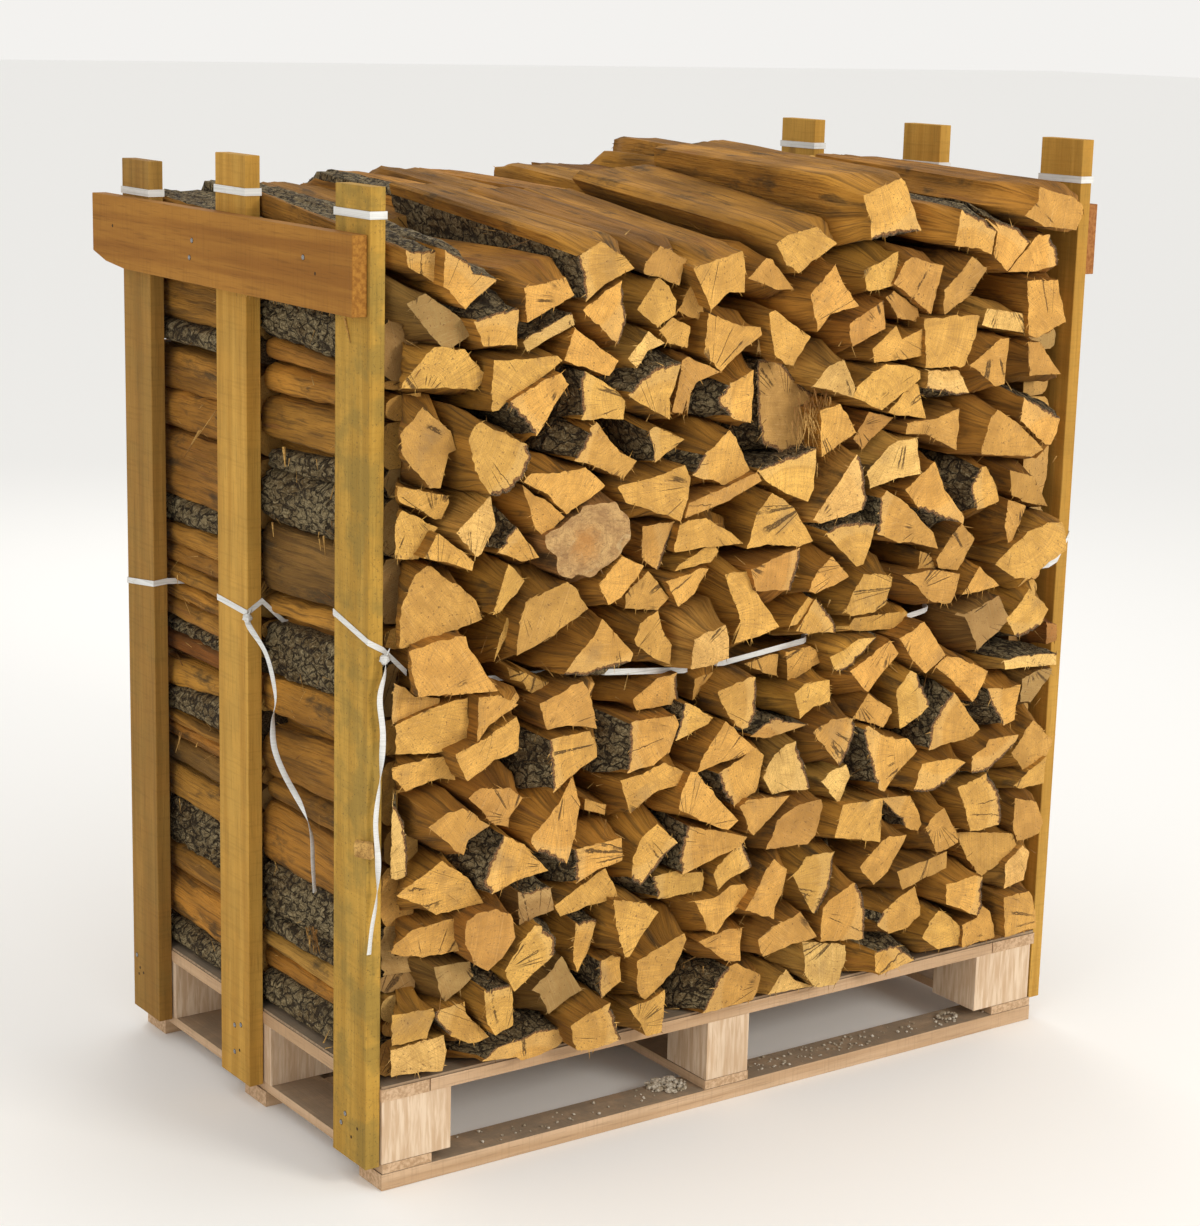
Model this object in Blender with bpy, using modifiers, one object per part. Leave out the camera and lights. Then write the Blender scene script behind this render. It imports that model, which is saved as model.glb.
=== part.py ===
"""Firewood crate: split logs stacked in two rows on a pallet, between six posts.

Everything is in metres, +Z up, X along the front, Y towards the back, with the
origin on the floor under the middle of the pallet.
"""
import math
import random

import bmesh
import bpy
import numpy as np
from mathutils import Vector

NAME = "firewood_crate"

# Pallet
LENGTH = 1.200
DEPTH = 0.720
GAP = 0.0003
BASE_TOP = 0.0232
RUNNER_TOP = 0.0371
BLOCK_TOP = 0.1274
FRAME_TOP = 0.1455
DECK_TOP = 0.1493
BUTT_GAP = 0.002
SAWN_EDGE = 0.0008
BASE_ROWS = {"front": (-0.360, -0.300), "middle": (-0.030, 0.034), "back": (0.298, 0.360)}
LOWER_RUNNERS = {"left": (-0.597, -0.520), "middle": (-0.052, 0.027), "right": (0.517, 0.599)}
BLOCK_COLUMNS = {"left": (-0.598, -0.4895), "middle": (-0.050, 0.026), "right": (0.479, 0.594)}
BLOCK_ROWS = {"front": (-0.358, -0.262), "middle": (-0.045, 0.050), "back": (0.262, 0.358)}
UPPER_RUNNERS = {"left": (-0.600, -0.525), "right": (0.511, 0.600)}
UPPER_ROWS = {"front": (-0.360, -0.283), "middle": (-0.038, 0.040), "back": (0.283, 0.360)}

# Posts and the boards nailed across them
POST_WIDTH = 0.088
POST_THICK = 0.022
POST_FOOT = 0.034
FRONT_POST_Y = -0.312
BACK_POST_Y = 0.314
POSTS = {
    "post_left_front": (-1, FRONT_POST_Y, 1.340),
    "post_left_middle": (-1, 0.019, 1.359),
    "post_left_back": (-1, BACK_POST_Y, 1.334),
    "post_right_front": (1, FRONT_POST_Y, 1.389),
    "post_right_middle": (1, 0.003, 1.395),
    "post_right_back": (1, BACK_POST_Y, 1.389),
}
CROSS_THICK = 0.022
LEFT_CROSS = {"front": -0.350, "back": 0.4136, "bottom": 1.179, "top": 1.281,
              "corner": 0.105, "corner_rise": 0.018}
RIGHT_CROSS = {"front": -0.350, "back": 0.400, "bottom": 1.188, "top": 1.293,
               "corner": 0.0, "corner_rise": 0.0}

# White strap: rings near the post tops and three ties right round the stack
STRAP_HEIGHT = 0.010
STRAP_THICK = 0.0010
STRAP_GAP = 0.0006
RINGS = {"post_left_front": 1.305, "post_left_middle": 1.311, "post_left_back": 1.289,
         "post_right_front": 1.330, "post_right_middle": 1.332, "post_right_back": 1.346}
SLOT_HALF = STRAP_HEIGHT / 2 + 0.0012
FRONT_TWINE = ((-0.600, 0.750), (-0.565, 0.716), (-0.430, 0.683), (-0.250, 0.678), (-0.115, 0.664),
               (-0.045, 0.666), (0.100, 0.681), (0.290, 0.694), (0.340, 0.702), (0.583, 0.745), (0.600, 0.752))
BACK_TWINE = ((-0.600, 0.722), (-0.300, 0.694), (0.000, 0.690), (0.300, 0.700), (0.600, 0.742))

# Loose twine ends that hang from the knots on the two left posts
TWINE_END_DIAMETER = 0.006
FRONT_END_ROUTE = ((-0.603, -0.3655, 0.7400), (-0.604, -0.3690, 0.7250), (-0.612, -0.3690, 0.6900),
                   (-0.607, -0.3690, 0.6400), (-0.611, -0.3690, 0.5800), (-0.617, -0.3690, 0.5250),
                   (-0.613, -0.3690, 0.4700), (-0.615, -0.3690, 0.4200), (-0.622, -0.3690, 0.3800),
                   (-0.626, -0.3690, 0.3450))
MIDDLE_END_ROUTE = ((-0.6262, -0.0330, 0.7300), (-0.6275, -0.0400, 0.7200), (-0.6275, -0.0900, 0.6900),
                    (-0.6275, -0.1150, 0.6400), (-0.6275, -0.1080, 0.6000), (-0.6275, -0.1120, 0.5640),
                    (-0.6275, -0.1400, 0.5340), (-0.6275, -0.1900, 0.5000), (-0.6275, -0.2160, 0.4700),
                    (-0.6275, -0.2210, 0.4260), (-0.6275, -0.2260, 0.3890))

# The stack
ROW_MIDDLE_GAP = 0.015
END_SCATTER = 0.022
STACK_SIDE = LENGTH / 2 - 0.0025
FURTHEST_OUT = 0.415
EYE = (-2.282, -3.212, 1.559)
GROW = 0.017
BACK_GROW = 0.110
SIDE_GROW = 0.004
KNIT = 0.0024
GROUP_GAP = 0.0010
OUTLINE_POINTS = 5
SMALLEST_END = 0.0015
SMALLEST_BACK_END = 0.0042
BACK_OUTLINE_POINTS = 4
COLUMN_EDGES = (-0.300, 0.000, 0.300)
LOW_BAND = 0.420
HIGH_BAND = 1.000
MIRROR_BELOW = 1.190
BACK_PROUD = 0.6
SEED = 4

# Front log ends, row by row from the deck up. Each line is how far the end stands proud
# of the pallet (mm), then the corners of its outline (x, z in mm), as they show on the
# front plane from where the photographer stood.
FRONT_LOGS = (
    # Bottom course and the next two, left half
    (30, -568, 200, -502, 206, -499, 182, -504, 152, -559, 161, -568, 160),
    (40, -571, 249, -521, 247, -519, 238, -527, 204, -571, 204),
    (20, -518, 241, -471, 247, -468, 228, -429, 186, -450, 181, -463, 182, -492, 200, -517, 228),
    (10, -521, 306, -465, 304, -458, 281, -474, 265, -500, 250, -514, 271),
    (40, -441, 256, -395, 259, -391, 222, -391, 194, -420, 184, -435, 207),
    (45, -470, 362, -456, 369, -423, 371, -398, 359, -388, 322, -408, 295, -432, 280, -456, 295,
     -471, 328, -474, 350),
    (35, -574, 338, -544, 363, -505, 369, -477, 370, -480, 342, -479, 321, -533, 322, -553, 328),
    (50, -564, 416, -511, 454, -498, 445, -468, 422, -441, 380, -492, 378, -517, 375, -535, 395),
    (30, -594, 548, -578, 560, -556, 525, -550, 480, -550, 440, -562, 436, -587, 447),
    (35, -414, 474, -377, 453, -359, 432, -335, 408, -389, 403, -432, 390, -449, 410, -438, 438),
    (40, -298, 536, -283, 495, -294, 453, -308, 412, -329, 424, -359, 438, -370, 455, -367, 466,
     -322, 502),
    (40, -297, 433, -220, 439, -214, 404, -256, 394, -289, 379),
    (30, -326, 356, -292, 375, -241, 397, -218, 350, -256, 347, -318, 339),
    (25, -389, 388, -335, 389, -327, 351, -383, 338),
    (20, -292, 327, -271, 328, -253, 324, -265, 283, -286, 251, -295, 274),
    (45, -377, 319, -359, 336, -347, 332, -321, 310, -323, 285, -362, 262, -391, 242, -408, 277),
    (15, -364, 241, -338, 259, -314, 282, -302, 262, -274, 222, -302, 212, -332, 197, -350, 233),
    (25, -250, 262, -226, 265, -211, 260, -209, 222, -244, 204, -251, 219),
    (20, -447, 156, -429, 171, -392, 175, -347, 181, -301, 171, -289, 159, -314, 144, -377, 136,
     -386, 147),
    (50, -297, 174, -274, 185, -229, 195, -217, 168, -205, 134, -262, 128, -283, 132),
    # Bottom course and the next two, middle
    (50, -226, 348, -168, 331, -143, 315, -178, 283, -200, 257, -208, 258, -222, 305),
    (35, -194, 404, -181, 428, -152, 448, -119, 415, -159, 380, -184, 357, -199, 371),
    (30, -159, 368, -117, 371, -72, 362, -67, 353, -75, 335, -114, 333, -150, 333),
    (45, -108, 419, -99, 435, -32, 416, 4, 404, -8, 391, -60, 376, -105, 363, -114, 374),
    (40, -56, 356, -47, 368, 4, 398, 15, 377, 22, 353, -32, 338, -46, 330),
    (30, -87, 321, -50, 320, -23, 332, 6, 332, 20, 319, 3, 297, -26, 279, -40, 260, -56, 271),
    (45, 25, 315, 44, 344, 62, 360, 89, 338, 80, 301, 65, 283, 63, 265, 4, 291),
    (40, 95, 328, 122, 353, 178, 351, 171, 298, 153, 271, 141, 259, 125, 274),
    (50, 157, 266, 174, 280, 216, 298, 237, 274, 241, 250, 242, 201, 157, 212),
    (45, 36, 238, 62, 254, 113, 268, 128, 250, 147, 224, 101, 219, 47, 210),
    (35, -187, 250, -99, 275, -94, 265, -114, 222, -135, 204, -168, 186, -181, 198),
    (40, -197, 181, -159, 186, -132, 197, -130, 162, -134, 130, -160, 128, -181, 159),
    (30, -75, 257, -23, 266, 7, 263, 4, 212, -26, 219, -50, 238),
    (20, -41, 192, -20, 210, -2, 210, 42, 185, 44, 168, 32, 146, 1, 144, -65, 144),
    (20, 59, 148, 83, 177, 92, 183, 110, 162, 144, 147),
    (40, 118, 222, 159, 213, 204, 201, 207, 188, 198, 144, 189, 138, 144, 142, 128, 171),
    (45, -11, 450, 4, 459, 89, 450, 47, 419, 19, 402, 10, 410),
    (45, 44, 375, 54, 395, 59, 419, 101, 438, 144, 439, 148, 425, 138, 383, 125, 369),
    (35, 142, 464, 162, 479, 189, 484, 198, 465, 178, 424, 159, 444),
    (50, 183, 424, 263, 422, 266, 350, 241, 357, 174, 372, 177, 392),
    # Bottom course and the next two, right half
    (45, 321, 422, 334, 465, 392, 465, 413, 460, 433, 451, 407, 430, 380, 418, 352, 415),
    (40, 440, 460, 468, 472, 475, 484, 541, 481, 535, 470, 498, 440, 470, 430, 440, 431),
    (30, 265, 419, 322, 416, 334, 395, 343, 368, 337, 356, 313, 365, 295, 386),
    (45, 415, 415, 446, 419, 477, 430, 508, 392, 513, 359, 510, 341, 443, 338, 434, 377),
    (45, 355, 359, 365, 374, 387, 388, 419, 341, 424, 325, 404, 316, 383, 312),
    (45, 227, 316, 265, 353, 280, 359, 313, 356, 310, 347, 284, 301, 258, 282),
    (40, 295, 301, 404, 313, 408, 285, 310, 268),
    (25, 422, 339, 462, 335, 539, 322, 548, 292, 474, 262, 446, 292),
    (30, 536, 380, 589, 365, 608, 325, 598, 310, 571, 306, 546, 307, 534, 328),
    (45, 531, 400, 560, 417, 602, 437, 605, 391, 545, 391),
    (35, 527, 452, 540, 468, 569, 501, 585, 487, 610, 463, 602, 440, 552, 420),
    (40, 522, 274, 562, 298, 580, 283, 572, 238, 525, 232),
    (45, 405, 260, 462, 266, 480, 259, 483, 216, 477, 195, 449, 207, 404, 228),
    (35, 260, 222, 271, 238, 301, 254, 343, 266, 358, 232, 355, 219, 328, 204, 286, 203),
    (35, 262, 177, 283, 182, 310, 180, 337, 159, 352, 147, 271, 138, 263, 147),
    (35, 358, 182, 374, 207, 389, 222, 404, 216, 440, 187, 443, 165, 437, 155, 392, 156),
    (40, 440, 188, 471, 195, 483, 212, 501, 201, 510, 177, 513, 154, 443, 150),
    (50, 524, 219, 583, 219, 592, 207, 604, 177, 606, 152, 531, 151),
    # Up to the twine, left half
    (45, -550, 744, -492, 758, -476, 756, -471, 741, -441, 694, -427, 675, -541, 681, -548, 721),
    (30, -579, 700, -571, 708, -556, 700, -544, 685, -517, 677, -517, 668, -535, 664, -568, 648,
     -577, 645),
    (50, -568, 645, -547, 658, -514, 668, -474, 673, -468, 603, -505, 600, -567, 608),
    (45, -455, 670, -426, 670, -392, 652, -441, 627, -459, 606),
    (50, -494, 597, -456, 608, -392, 636, -388, 618, -389, 586, -432, 576, -474, 556),
    (30, -576, 589, -538, 598, -502, 598, -492, 562, -514, 567, -553, 555),
    (30, -471, 533, -453, 545, -402, 539, -383, 520, -402, 497, -405, 483, -426, 488),
    (45, -529, 502, -505, 517, -477, 521, -433, 489, -468, 474, -477, 455, -492, 464),
    (40, -345, 597, -305, 598, -271, 598, -257, 572, -257, 558, -292, 545, -336, 521, -341, 558),
    (45, -358, 648, -329, 658, -308, 670, -289, 673, -271, 639, -262, 600, -289, 606, -314, 611,
     -344, 608),
    (5, -392, 698, -383, 695, -353, 679, -317, 667, -358, 655, -383, 670),
    (5, -382, 662, -358, 655, -352, 630, -368, 630),
    (40, -321, 683, -299, 706, -271, 733, -259, 755, -226, 724, -205, 700, -208, 688, -286, 676),
    (45, -389, 793, -317, 814, -302, 802, -280, 770, -335, 739, -397, 718, -398, 742),
    (20, -426, 745, -414, 773, -402, 782, -395, 776, -420, 736, -432, 715),
    (10, -283, 505, -241, 488, -244, 473, -283, 488),
    # Up to the twine, middle
    (35, -205, 720, -196, 742, -164, 756, -156, 730, -138, 703, -141, 676, -172, 688, -202, 712),
    (55, -103, 709, -47, 723, -38, 703, -35, 671, -75, 663, -105, 663),
    (40, -47, 794, -8, 797, 4, 767, 22, 745, 48, 709, 4, 697, -35, 690, -32, 703, -18, 720, -38, 770),
    (15, -208, 635, -162, 661, -126, 662, -120, 615, -199, 618),
    (5, -99, 651, -62, 655, -78, 638, -103, 618),
    (45, -59, 627, 4, 639, 15, 639, 19, 588, 4, 564, -11, 565, -35, 583),
    (0, -12, 661, 35, 669, 54, 669, 50, 636, 22, 644),
    (10, 66, 669, 109, 675, 122, 667, 135, 648, 101, 633, 74, 620),
    (40, 82, 606, 104, 620, 154, 618, 157, 583, 122, 579, 95, 565),
    (40, -208, 600, -196, 603, -129, 602, -120, 588, -138, 548, -165, 533, -211, 529),
    (35, -117, 618, -105, 617, -59, 588, -68, 580, -102, 570, -132, 564),
    (40, -85, 509, -75, 536, -41, 582, 16, 533, -14, 524, -50, 518),
    (35, -222, 520, -190, 524, -147, 536, -105, 515, -114, 500, -165, 491, -202, 468),
    (50, -117, 485, -99, 515, -87, 512, -38, 458, -8, 428, -26, 416, -81, 438, -120, 463),
    (35, -56, 507, -23, 518, 22, 533, 38, 520, 30, 488, 22, 466, -20, 452, -45, 475),
    (35, 32, 485, 53, 518, 74, 530, 92, 533, 110, 494, 119, 458, 50, 458),
    (25, 3, 552, 47, 579, 71, 567, 116, 555, 41, 544),
    (45, 121, 542, 159, 558, 201, 553, 204, 536, 198, 509, 174, 483, 138, 524),
    (40, 200, 553, 225, 588, 271, 558, 274, 552, 258, 530),
    (45, 186, 626, 264, 665, 283, 641, 258, 618, 225, 588, 204, 606),
    (40, 147, 652, 180, 662, 204, 673, 238, 671, 216, 652, 189, 632, 160, 626),
    (15, 177, 690, 189, 706, 246, 706, 280, 705, 292, 678, 210, 682),
    (45, 174, 715, 186, 745, 204, 771, 240, 768, 260, 761, 252, 718, 228, 708, 189, 707),
    (35, 83, 697, 116, 742, 144, 718, 159, 694, 156, 688, 107, 690),
    (30, 71, 704, 77, 721, 101, 747, 113, 742, 86, 706),
    (45, 101, 755, 112, 780, 144, 803, 183, 767, 156, 758, 113, 748),
    # Up to the twine, right half
    (50, 281, 664, 330, 685, 343, 670, 377, 627, 337, 602, 310, 626),
    (40, 413, 685, 477, 709, 501, 670, 480, 652, 442, 627),
    (45, 402, 716, 416, 733, 433, 759, 477, 724, 440, 718),
    (40, 284, 759, 345, 762, 392, 752, 389, 727, 380, 706, 362, 708, 331, 718, 313, 739),
    (35, 345, 777, 368, 808, 392, 829, 422, 802, 404, 770, 392, 755, 350, 763),
    (25, 311, 764, 314, 793, 330, 788, 343, 778, 345, 764),
    (50, 471, 755, 495, 776, 531, 802, 574, 814, 600, 812, 610, 790, 612, 766, 583, 752, 542, 726,
     513, 730),
    (45, 498, 670, 522, 691, 540, 715, 562, 697, 584, 676, 571, 652, 546, 639, 519, 636),
    (45, 355, 612, 375, 627, 398, 624, 468, 591, 458, 570, 440, 545, 380, 594),
    (40, 463, 565, 501, 561, 536, 562, 531, 533, 527, 506, 505, 497, 477, 533),
    (35, 539, 570, 568, 580, 602, 580, 595, 564, 558, 529, 537, 533),
    (45, 499, 603, 528, 609, 574, 608, 607, 603, 607, 585, 501, 589),
    (45, 280, 585, 307, 612, 319, 609, 340, 579, 352, 552, 325, 536, 289, 523),
    (50, 351, 482, 352, 518, 377, 548, 398, 570, 422, 542, 452, 502, 440, 492, 398, 488),
    (45, 217, 536, 228, 539, 265, 515, 310, 506, 334, 483, 307, 467, 265, 431, 252, 437, 237, 462),
    (25, 583, 655, 606, 650, 607, 622, 585, 618),
    # Above the twine, left half
    (50, -576, 1020, -538, 1062, -502, 1029, -492, 1003, -505, 999, -520, 955, -532, 956),
    (30, -573, 965, -559, 962, -505, 944, -502, 935, -514, 914, -523, 914, -565, 944),
    (40, -585, 870, -579, 902, -559, 931, -521, 905, -533, 890, -542, 864),
    (40, -539, 867, -521, 897, -498, 881, -462, 852, -467, 841, -498, 853),
    (45, -494, 894, -441, 940, -433, 900, -456, 862, -462, 858),
    (50, -479, 1017, -468, 1032, -456, 1037, -383, 1003, -372, 990, -390, 958, -415, 938,
     -444, 938, -471, 975),
    (40, -438, 1116, -341, 1118, -332, 1112, -362, 1092, -420, 1060, -432, 1050, -441, 1049,
     -444, 1075),
    (50, -417, 1059, -359, 1091, -335, 1094, -321, 1079, -341, 1053, -371, 1011, -398, 1038),
    (40, -303, 1090, -298, 1096, -247, 1068, -229, 1050, -235, 1026, -301, 1029),
    (40, -314, 976, -289, 1014, -274, 1025, -235, 981, -206, 967, -230, 944, -283, 967),
    (45, -394, 954, -380, 964, -329, 962, -289, 965, -256, 937, -292, 917, -323, 903, -356, 934),
    (42, -392, 950, -372, 933, -356, 930, -325, 901, -356, 875, -371, 890),
    (50, -352, 878, -338, 887, -295, 914, -235, 911, -220, 885, -217, 860, -235, 835, -271, 818,
     -311, 814, -332, 829, -350, 865),
    (35, -427, 862, -417, 884, -402, 899, -365, 850, -392, 846),
    (40, -532, 858, -486, 823, -462, 802, -450, 775, -508, 762, -530, 752, -561, 751, -562, 800,
     -547, 840),
    (40, -411, 846, -383, 820, -395, 805, -426, 781, -438, 779, -423, 821),
    (50, -268, 802, -256, 817, -229, 840, -190, 820, -205, 800, -226, 779, -250, 770),
    (30, -222, 784, -184, 814, -168, 799, -147, 772, -165, 755, -220, 764),
    (45, -236, 934, -172, 944, -127, 956, -118, 938, -120, 908, -135, 879, -175, 893, -222, 911),
    # Above the twine, middle
    (45, -226, 1058, -202, 1084, -175, 1096, -137, 1099, -155, 1047, -156, 1020, -202, 1041),
    (40, -134, 1099, -126, 1105, -90, 1090, -72, 1081, -108, 1070, -128, 1047, -128, 1023, -153, 1029),
    (40, -78, 1041, -56, 1062, -14, 1081, -12, 1050, -14, 1005, -50, 1014),
    (35, -193, 1008, -181, 1014, -126, 991, -165, 968, -178, 961),
    (40, -120, 941, -99, 968, -50, 999, -38, 990, -23, 962, -8, 938, -50, 920),
    (50, -120, 902, 1, 935, 13, 923, -56, 896, -126, 881),
    (40, 1, 938, 41, 953, 104, 965, 104, 902, 95, 885, 53, 899, 16, 923),
    (45, 110, 1015, 147, 1023, 162, 1005, 178, 979, 116, 947),
    (5, -10, 1095, 30, 1095, 59, 1072, 110, 1030, 104, 1000, 98, 968, 40, 958, 0, 975, -8, 1010),
    (45, 94, 1050, 122, 1078, 153, 1087, 174, 1044, 171, 1029, 119, 1044),
    (45, 174, 1044, 204, 1066, 228, 1075, 265, 1072, 296, 1062, 298, 1050, 228, 1006, 171, 1030),
    (30, 171, 970, 201, 1008, 251, 996, 210, 968, 189, 952),
    (50, 103, 858, 181, 950, 198, 929, 210, 878, 203, 864, 119, 852),
    (45, 204, 920, 240, 956, 255, 962, 292, 965, 307, 909, 265, 905, 212, 893),
    (45, 133, 835, 147, 847, 180, 850, 225, 846, 210, 802, 201, 784, 188, 781),
    (45, -17, 828, -2, 878, 27, 906, 71, 881, 112, 826, 86, 820, 16, 830),
    (40, -141, 841, -132, 872, -117, 878, -87, 878, -41, 853, -23, 837, -138, 834),
    (30, -138, 808, -132, 817, -87, 838, -68, 838, -62, 829, -75, 814),
    (40, -155, 796, -114, 802, -90, 808, -75, 805, -104, 772, -134, 757),
    (25, -197, 878, -138, 879, -156, 829, -165, 812, -181, 820, -199, 832),
    (45, -8, 798, 53, 814, 86, 820, 89, 800, 71, 758, 3, 765),
    # Above the twine, right half
    (45, 225, 881, 239, 891, 283, 868, 325, 832, 343, 817, 355, 791, 301, 806, 271, 808, 222, 828),
    (45, 283, 887, 310, 908, 337, 925, 355, 884, 392, 838, 389, 828, 337, 841, 307, 856),
    (45, 271, 987, 331, 990, 377, 1002, 378, 938, 310, 967, 274, 970),
    (50, 421, 929, 428, 956, 440, 987, 452, 996, 498, 972, 557, 926, 531, 917),
    (45, 498, 975, 501, 1011, 558, 990, 586, 975, 581, 950, 571, 932, 558, 932),
    (45, 392, 1064, 452, 1102, 469, 1102, 463, 1032, 445, 1029),
    (35, 507, 1093, 531, 1093, 580, 1040, 546, 1041, 513, 1040),
    (45, 310, 1061, 374, 1059, 395, 1023, 362, 1020, 307, 1035),
    (40, 233, 1005, 283, 1047, 295, 1044, 312, 990, 251, 999),
    (40, 402, 880, 422, 911, 434, 911, 452, 893, 471, 853, 425, 843),
    (25, 483, 902, 537, 887, 552, 865, 572, 837, 522, 847, 489, 862),
    (35, 486, 856, 522, 844, 513, 817, 501, 793, 495, 773, 483, 817),
    # The top two courses, left half
    (40, -559, 1262, -521, 1262, -521, 1214, -541, 1228, -556, 1240),
    (40, -518, 1261, -480, 1245, -474, 1231, -436, 1221, -482, 1183, -517, 1213),
    (45, -558, 1195, -538, 1207, -498, 1180, -471, 1152, -511, 1131, -523, 1140),
    (45, -568, 1089, -530, 1140, -485, 1133, -448, 1095, -465, 1077, -483, 1081),
    (45, -474, 1168, -456, 1177, -402, 1184, -402, 1133, -456, 1134),
    (50, -398, 1208, -329, 1221, -314, 1195, -347, 1180, -391, 1162),
    (30, -397, 1137, -383, 1149, -320, 1174, -315, 1157, -389, 1124),
    (45, -314, 1246, -277, 1266, -235, 1240, -221, 1227, -268, 1207, -297, 1184),
    (45, -305, 1175, -256, 1207, -242, 1212, -236, 1192, -230, 1155, -241, 1125),
    (40, -330, 1116, -314, 1152, -242, 1105, -256, 1084, -332, 1110),
    (40, -229, 1107, -193, 1143, -165, 1125, -193, 1116, -214, 1093),
    # The top two courses, middle
    (30, -207, 1232, -181, 1258, -132, 1236, -144, 1201, -205, 1219),
    (35, -218, 1172, -181, 1215, -162, 1201, -149, 1181, -150, 1162, -181, 1146),
    (20, -147, 1168, -129, 1201, -120, 1192, -105, 1171, -99, 1149, -129, 1158),
    (50, -126, 1225, -41, 1245, -32, 1216, -32, 1187, -59, 1189, -90, 1165),
    (40, -31, 1207, 1, 1234, 13, 1231, 57, 1187, 22, 1189),
    (50, 16, 1252, 35, 1265, 89, 1275, 130, 1249, 62, 1210, 38, 1222),
    (50, 80, 1180, 122, 1222, 144, 1192, 175, 1160, 122, 1149, 101, 1127),
    (35, -178, 1143, -156, 1160, -126, 1146, -128, 1115, -159, 1122),
    (40, -103, 1107, -93, 1162, -38, 1143, -2, 1139, 1, 1128, -50, 1098, -72, 1080),
    (45, 7, 1158, 18, 1163, 89, 1121, 60, 1080, 44, 1083, 22, 1098),
    (15, -9, 1104, -8, 1122, 16, 1122, 18, 1104),
    (40, 153, 1137, 219, 1168, 228, 1125, 163, 1101),
    (35, 178, 1210, 243, 1237, 237, 1187, 212, 1181, 186, 1180),
    (50, 168, 1316, 198, 1325, 243, 1339, 251, 1334, 286, 1262, 240, 1258, 186, 1251, 183, 1280),
    # The top two courses, right half
    (40, 203, 1098, 243, 1130, 258, 1110, 296, 1124, 298, 1083, 255, 1078, 207, 1077),
    (30, 221, 1171, 237, 1180, 284, 1152, 292, 1130, 246, 1140),
    (45, 239, 1189, 255, 1222, 265, 1228, 327, 1213, 312, 1142),
    (50, 300, 1137, 404, 1139, 408, 1136, 401, 1107, 380, 1062, 304, 1065),
    (45, 330, 1177, 362, 1201, 386, 1225, 419, 1204, 389, 1168, 336, 1140, 330, 1155),
    (45, 346, 1240, 360, 1292, 404, 1279, 433, 1262, 422, 1225, 392, 1234),
    (45, 406, 1280, 474, 1265, 501, 1242, 455, 1198, 424, 1225, 435, 1262),
    (45, 457, 1198, 513, 1254, 537, 1252, 558, 1231, 563, 1204, 513, 1196),
    (52, 487, 1280, 510, 1301, 513, 1322, 580, 1307, 601, 1295, 604, 1280, 592, 1255, 528, 1262),
    (45, 499, 1186, 558, 1183, 581, 1119, 525, 1096, 510, 1101),
    (30, 412, 1122, 422, 1146, 449, 1144, 501, 1134, 495, 1107, 431, 1116),
)

# The top logs of the back row, straight from their silhouette: how far proud, then (x, z) in mm.
BACK_TOP_LOGS = (
    (12, -592, 1195, -520, 1190, -505, 1250, -540, 1290, -590, 1280),
    (20, -500, 1200, -430, 1195, -425, 1260, -468, 1304, -505, 1270),
    (10, -420, 1200, -335, 1190, -325, 1250, -350, 1296, -400, 1296),
    (22, -320, 1195, -250, 1190, -228, 1250, -268, 1313, -315, 1290),
    (14, -235, 1195, -165, 1195, -140, 1260, -180, 1318, -215, 1300),
    (25, -150, 1190, -70, 1195, -60, 1255, -100, 1312, -130, 1290),
    (8, -62, 1200, 5, 1190, 18, 1250, -15, 1296, -48, 1280),
    (16, 15, 1195, 90, 1190, 100, 1262, 75, 1320, 28, 1312),
    (24, 100, 1190, 170, 1195, 190, 1255, 165, 1316, 110, 1318),
    (12, 182, 1190, 245, 1195, 240, 1270, 215, 1312, 195, 1312),
    (20, 255, 1190, 330, 1195, 345, 1260, 305, 1330, 262, 1330),
    (6, 250, 1322, 305, 1330, 298, 1352, 275, 1360, 256, 1354),
    (18, 345, 1190, 415, 1195, 425, 1265, 380, 1320, 352, 1310),
    (10, 425, 1190, 500, 1195, 505, 1262, 470, 1318, 435, 1320),
    (15, 510, 1190, 592, 1195, 594, 1270, 560, 1312, 518, 1308),
)


# Outlines on the plane of the log ends are lists of (x, z) corners, anticlockwise.

def cross(o, a, b):
    return (a[0] - o[0]) * (b[1] - o[1]) - (a[1] - o[1]) * (b[0] - o[0])


def area(poly):
    total = 0.0
    for (x0, z0), (x1, z1) in zip(poly, poly[1:] + poly[:1]):
        total += x0 * z1 - x1 * z0
    return total / 2


def centre(poly):
    return (sum(p[0] for p in poly) / len(poly), sum(p[1] for p in poly) / len(poly))


def hull(points):
    """Convex outline round a set of points."""
    points = sorted(set(points))
    halves = []
    for run in (points, points[::-1]):
        half = []
        for p in run:
            while len(half) > 1 and cross(half[-2], half[-1], p) <= 0:
                half.pop()
            half.append(p)
        halves.append(half[:-1])
    return halves[0] + halves[1]


def fewer_corners(poly, most, slack=0.0):
    """Drop the corners that carry the least area."""
    poly = list(poly)
    while len(poly) > 4:
        losses = [cross(poly[i - 1], poly[i], poly[(i + 1) % len(poly)]) / 2 for i in range(len(poly))]
        least = min(range(len(poly)), key=lambda i: losses[i])
        if len(poly) <= most and losses[least] > slack:
            break
        poly.pop(least)
    return poly


def keep_side(poly, normal, limit):
    """The part of a convex outline where normal . p <= limit."""
    kept = []
    for a, b in zip(poly, poly[1:] + poly[:1]):
        da = normal[0] * a[0] + normal[1] * a[1] - limit
        db = normal[0] * b[0] + normal[1] * b[1] - limit
        if da <= 0:
            kept.append(a)
        if (da < 0 < db) or (db < 0 < da):
            t = da / (da - db)
            kept.append((a[0] + (b[0] - a[0]) * t, a[1] + (b[1] - a[1]) * t))
    return kept


def edge_normals(poly):
    for a, b in zip(poly, poly[1:] + poly[:1]):
        length = math.hypot(b[0] - a[0], b[1] - a[1])
        if length > 1e-6:
            yield ((b[1] - a[1]) / length, -(b[0] - a[0]) / length)


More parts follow.
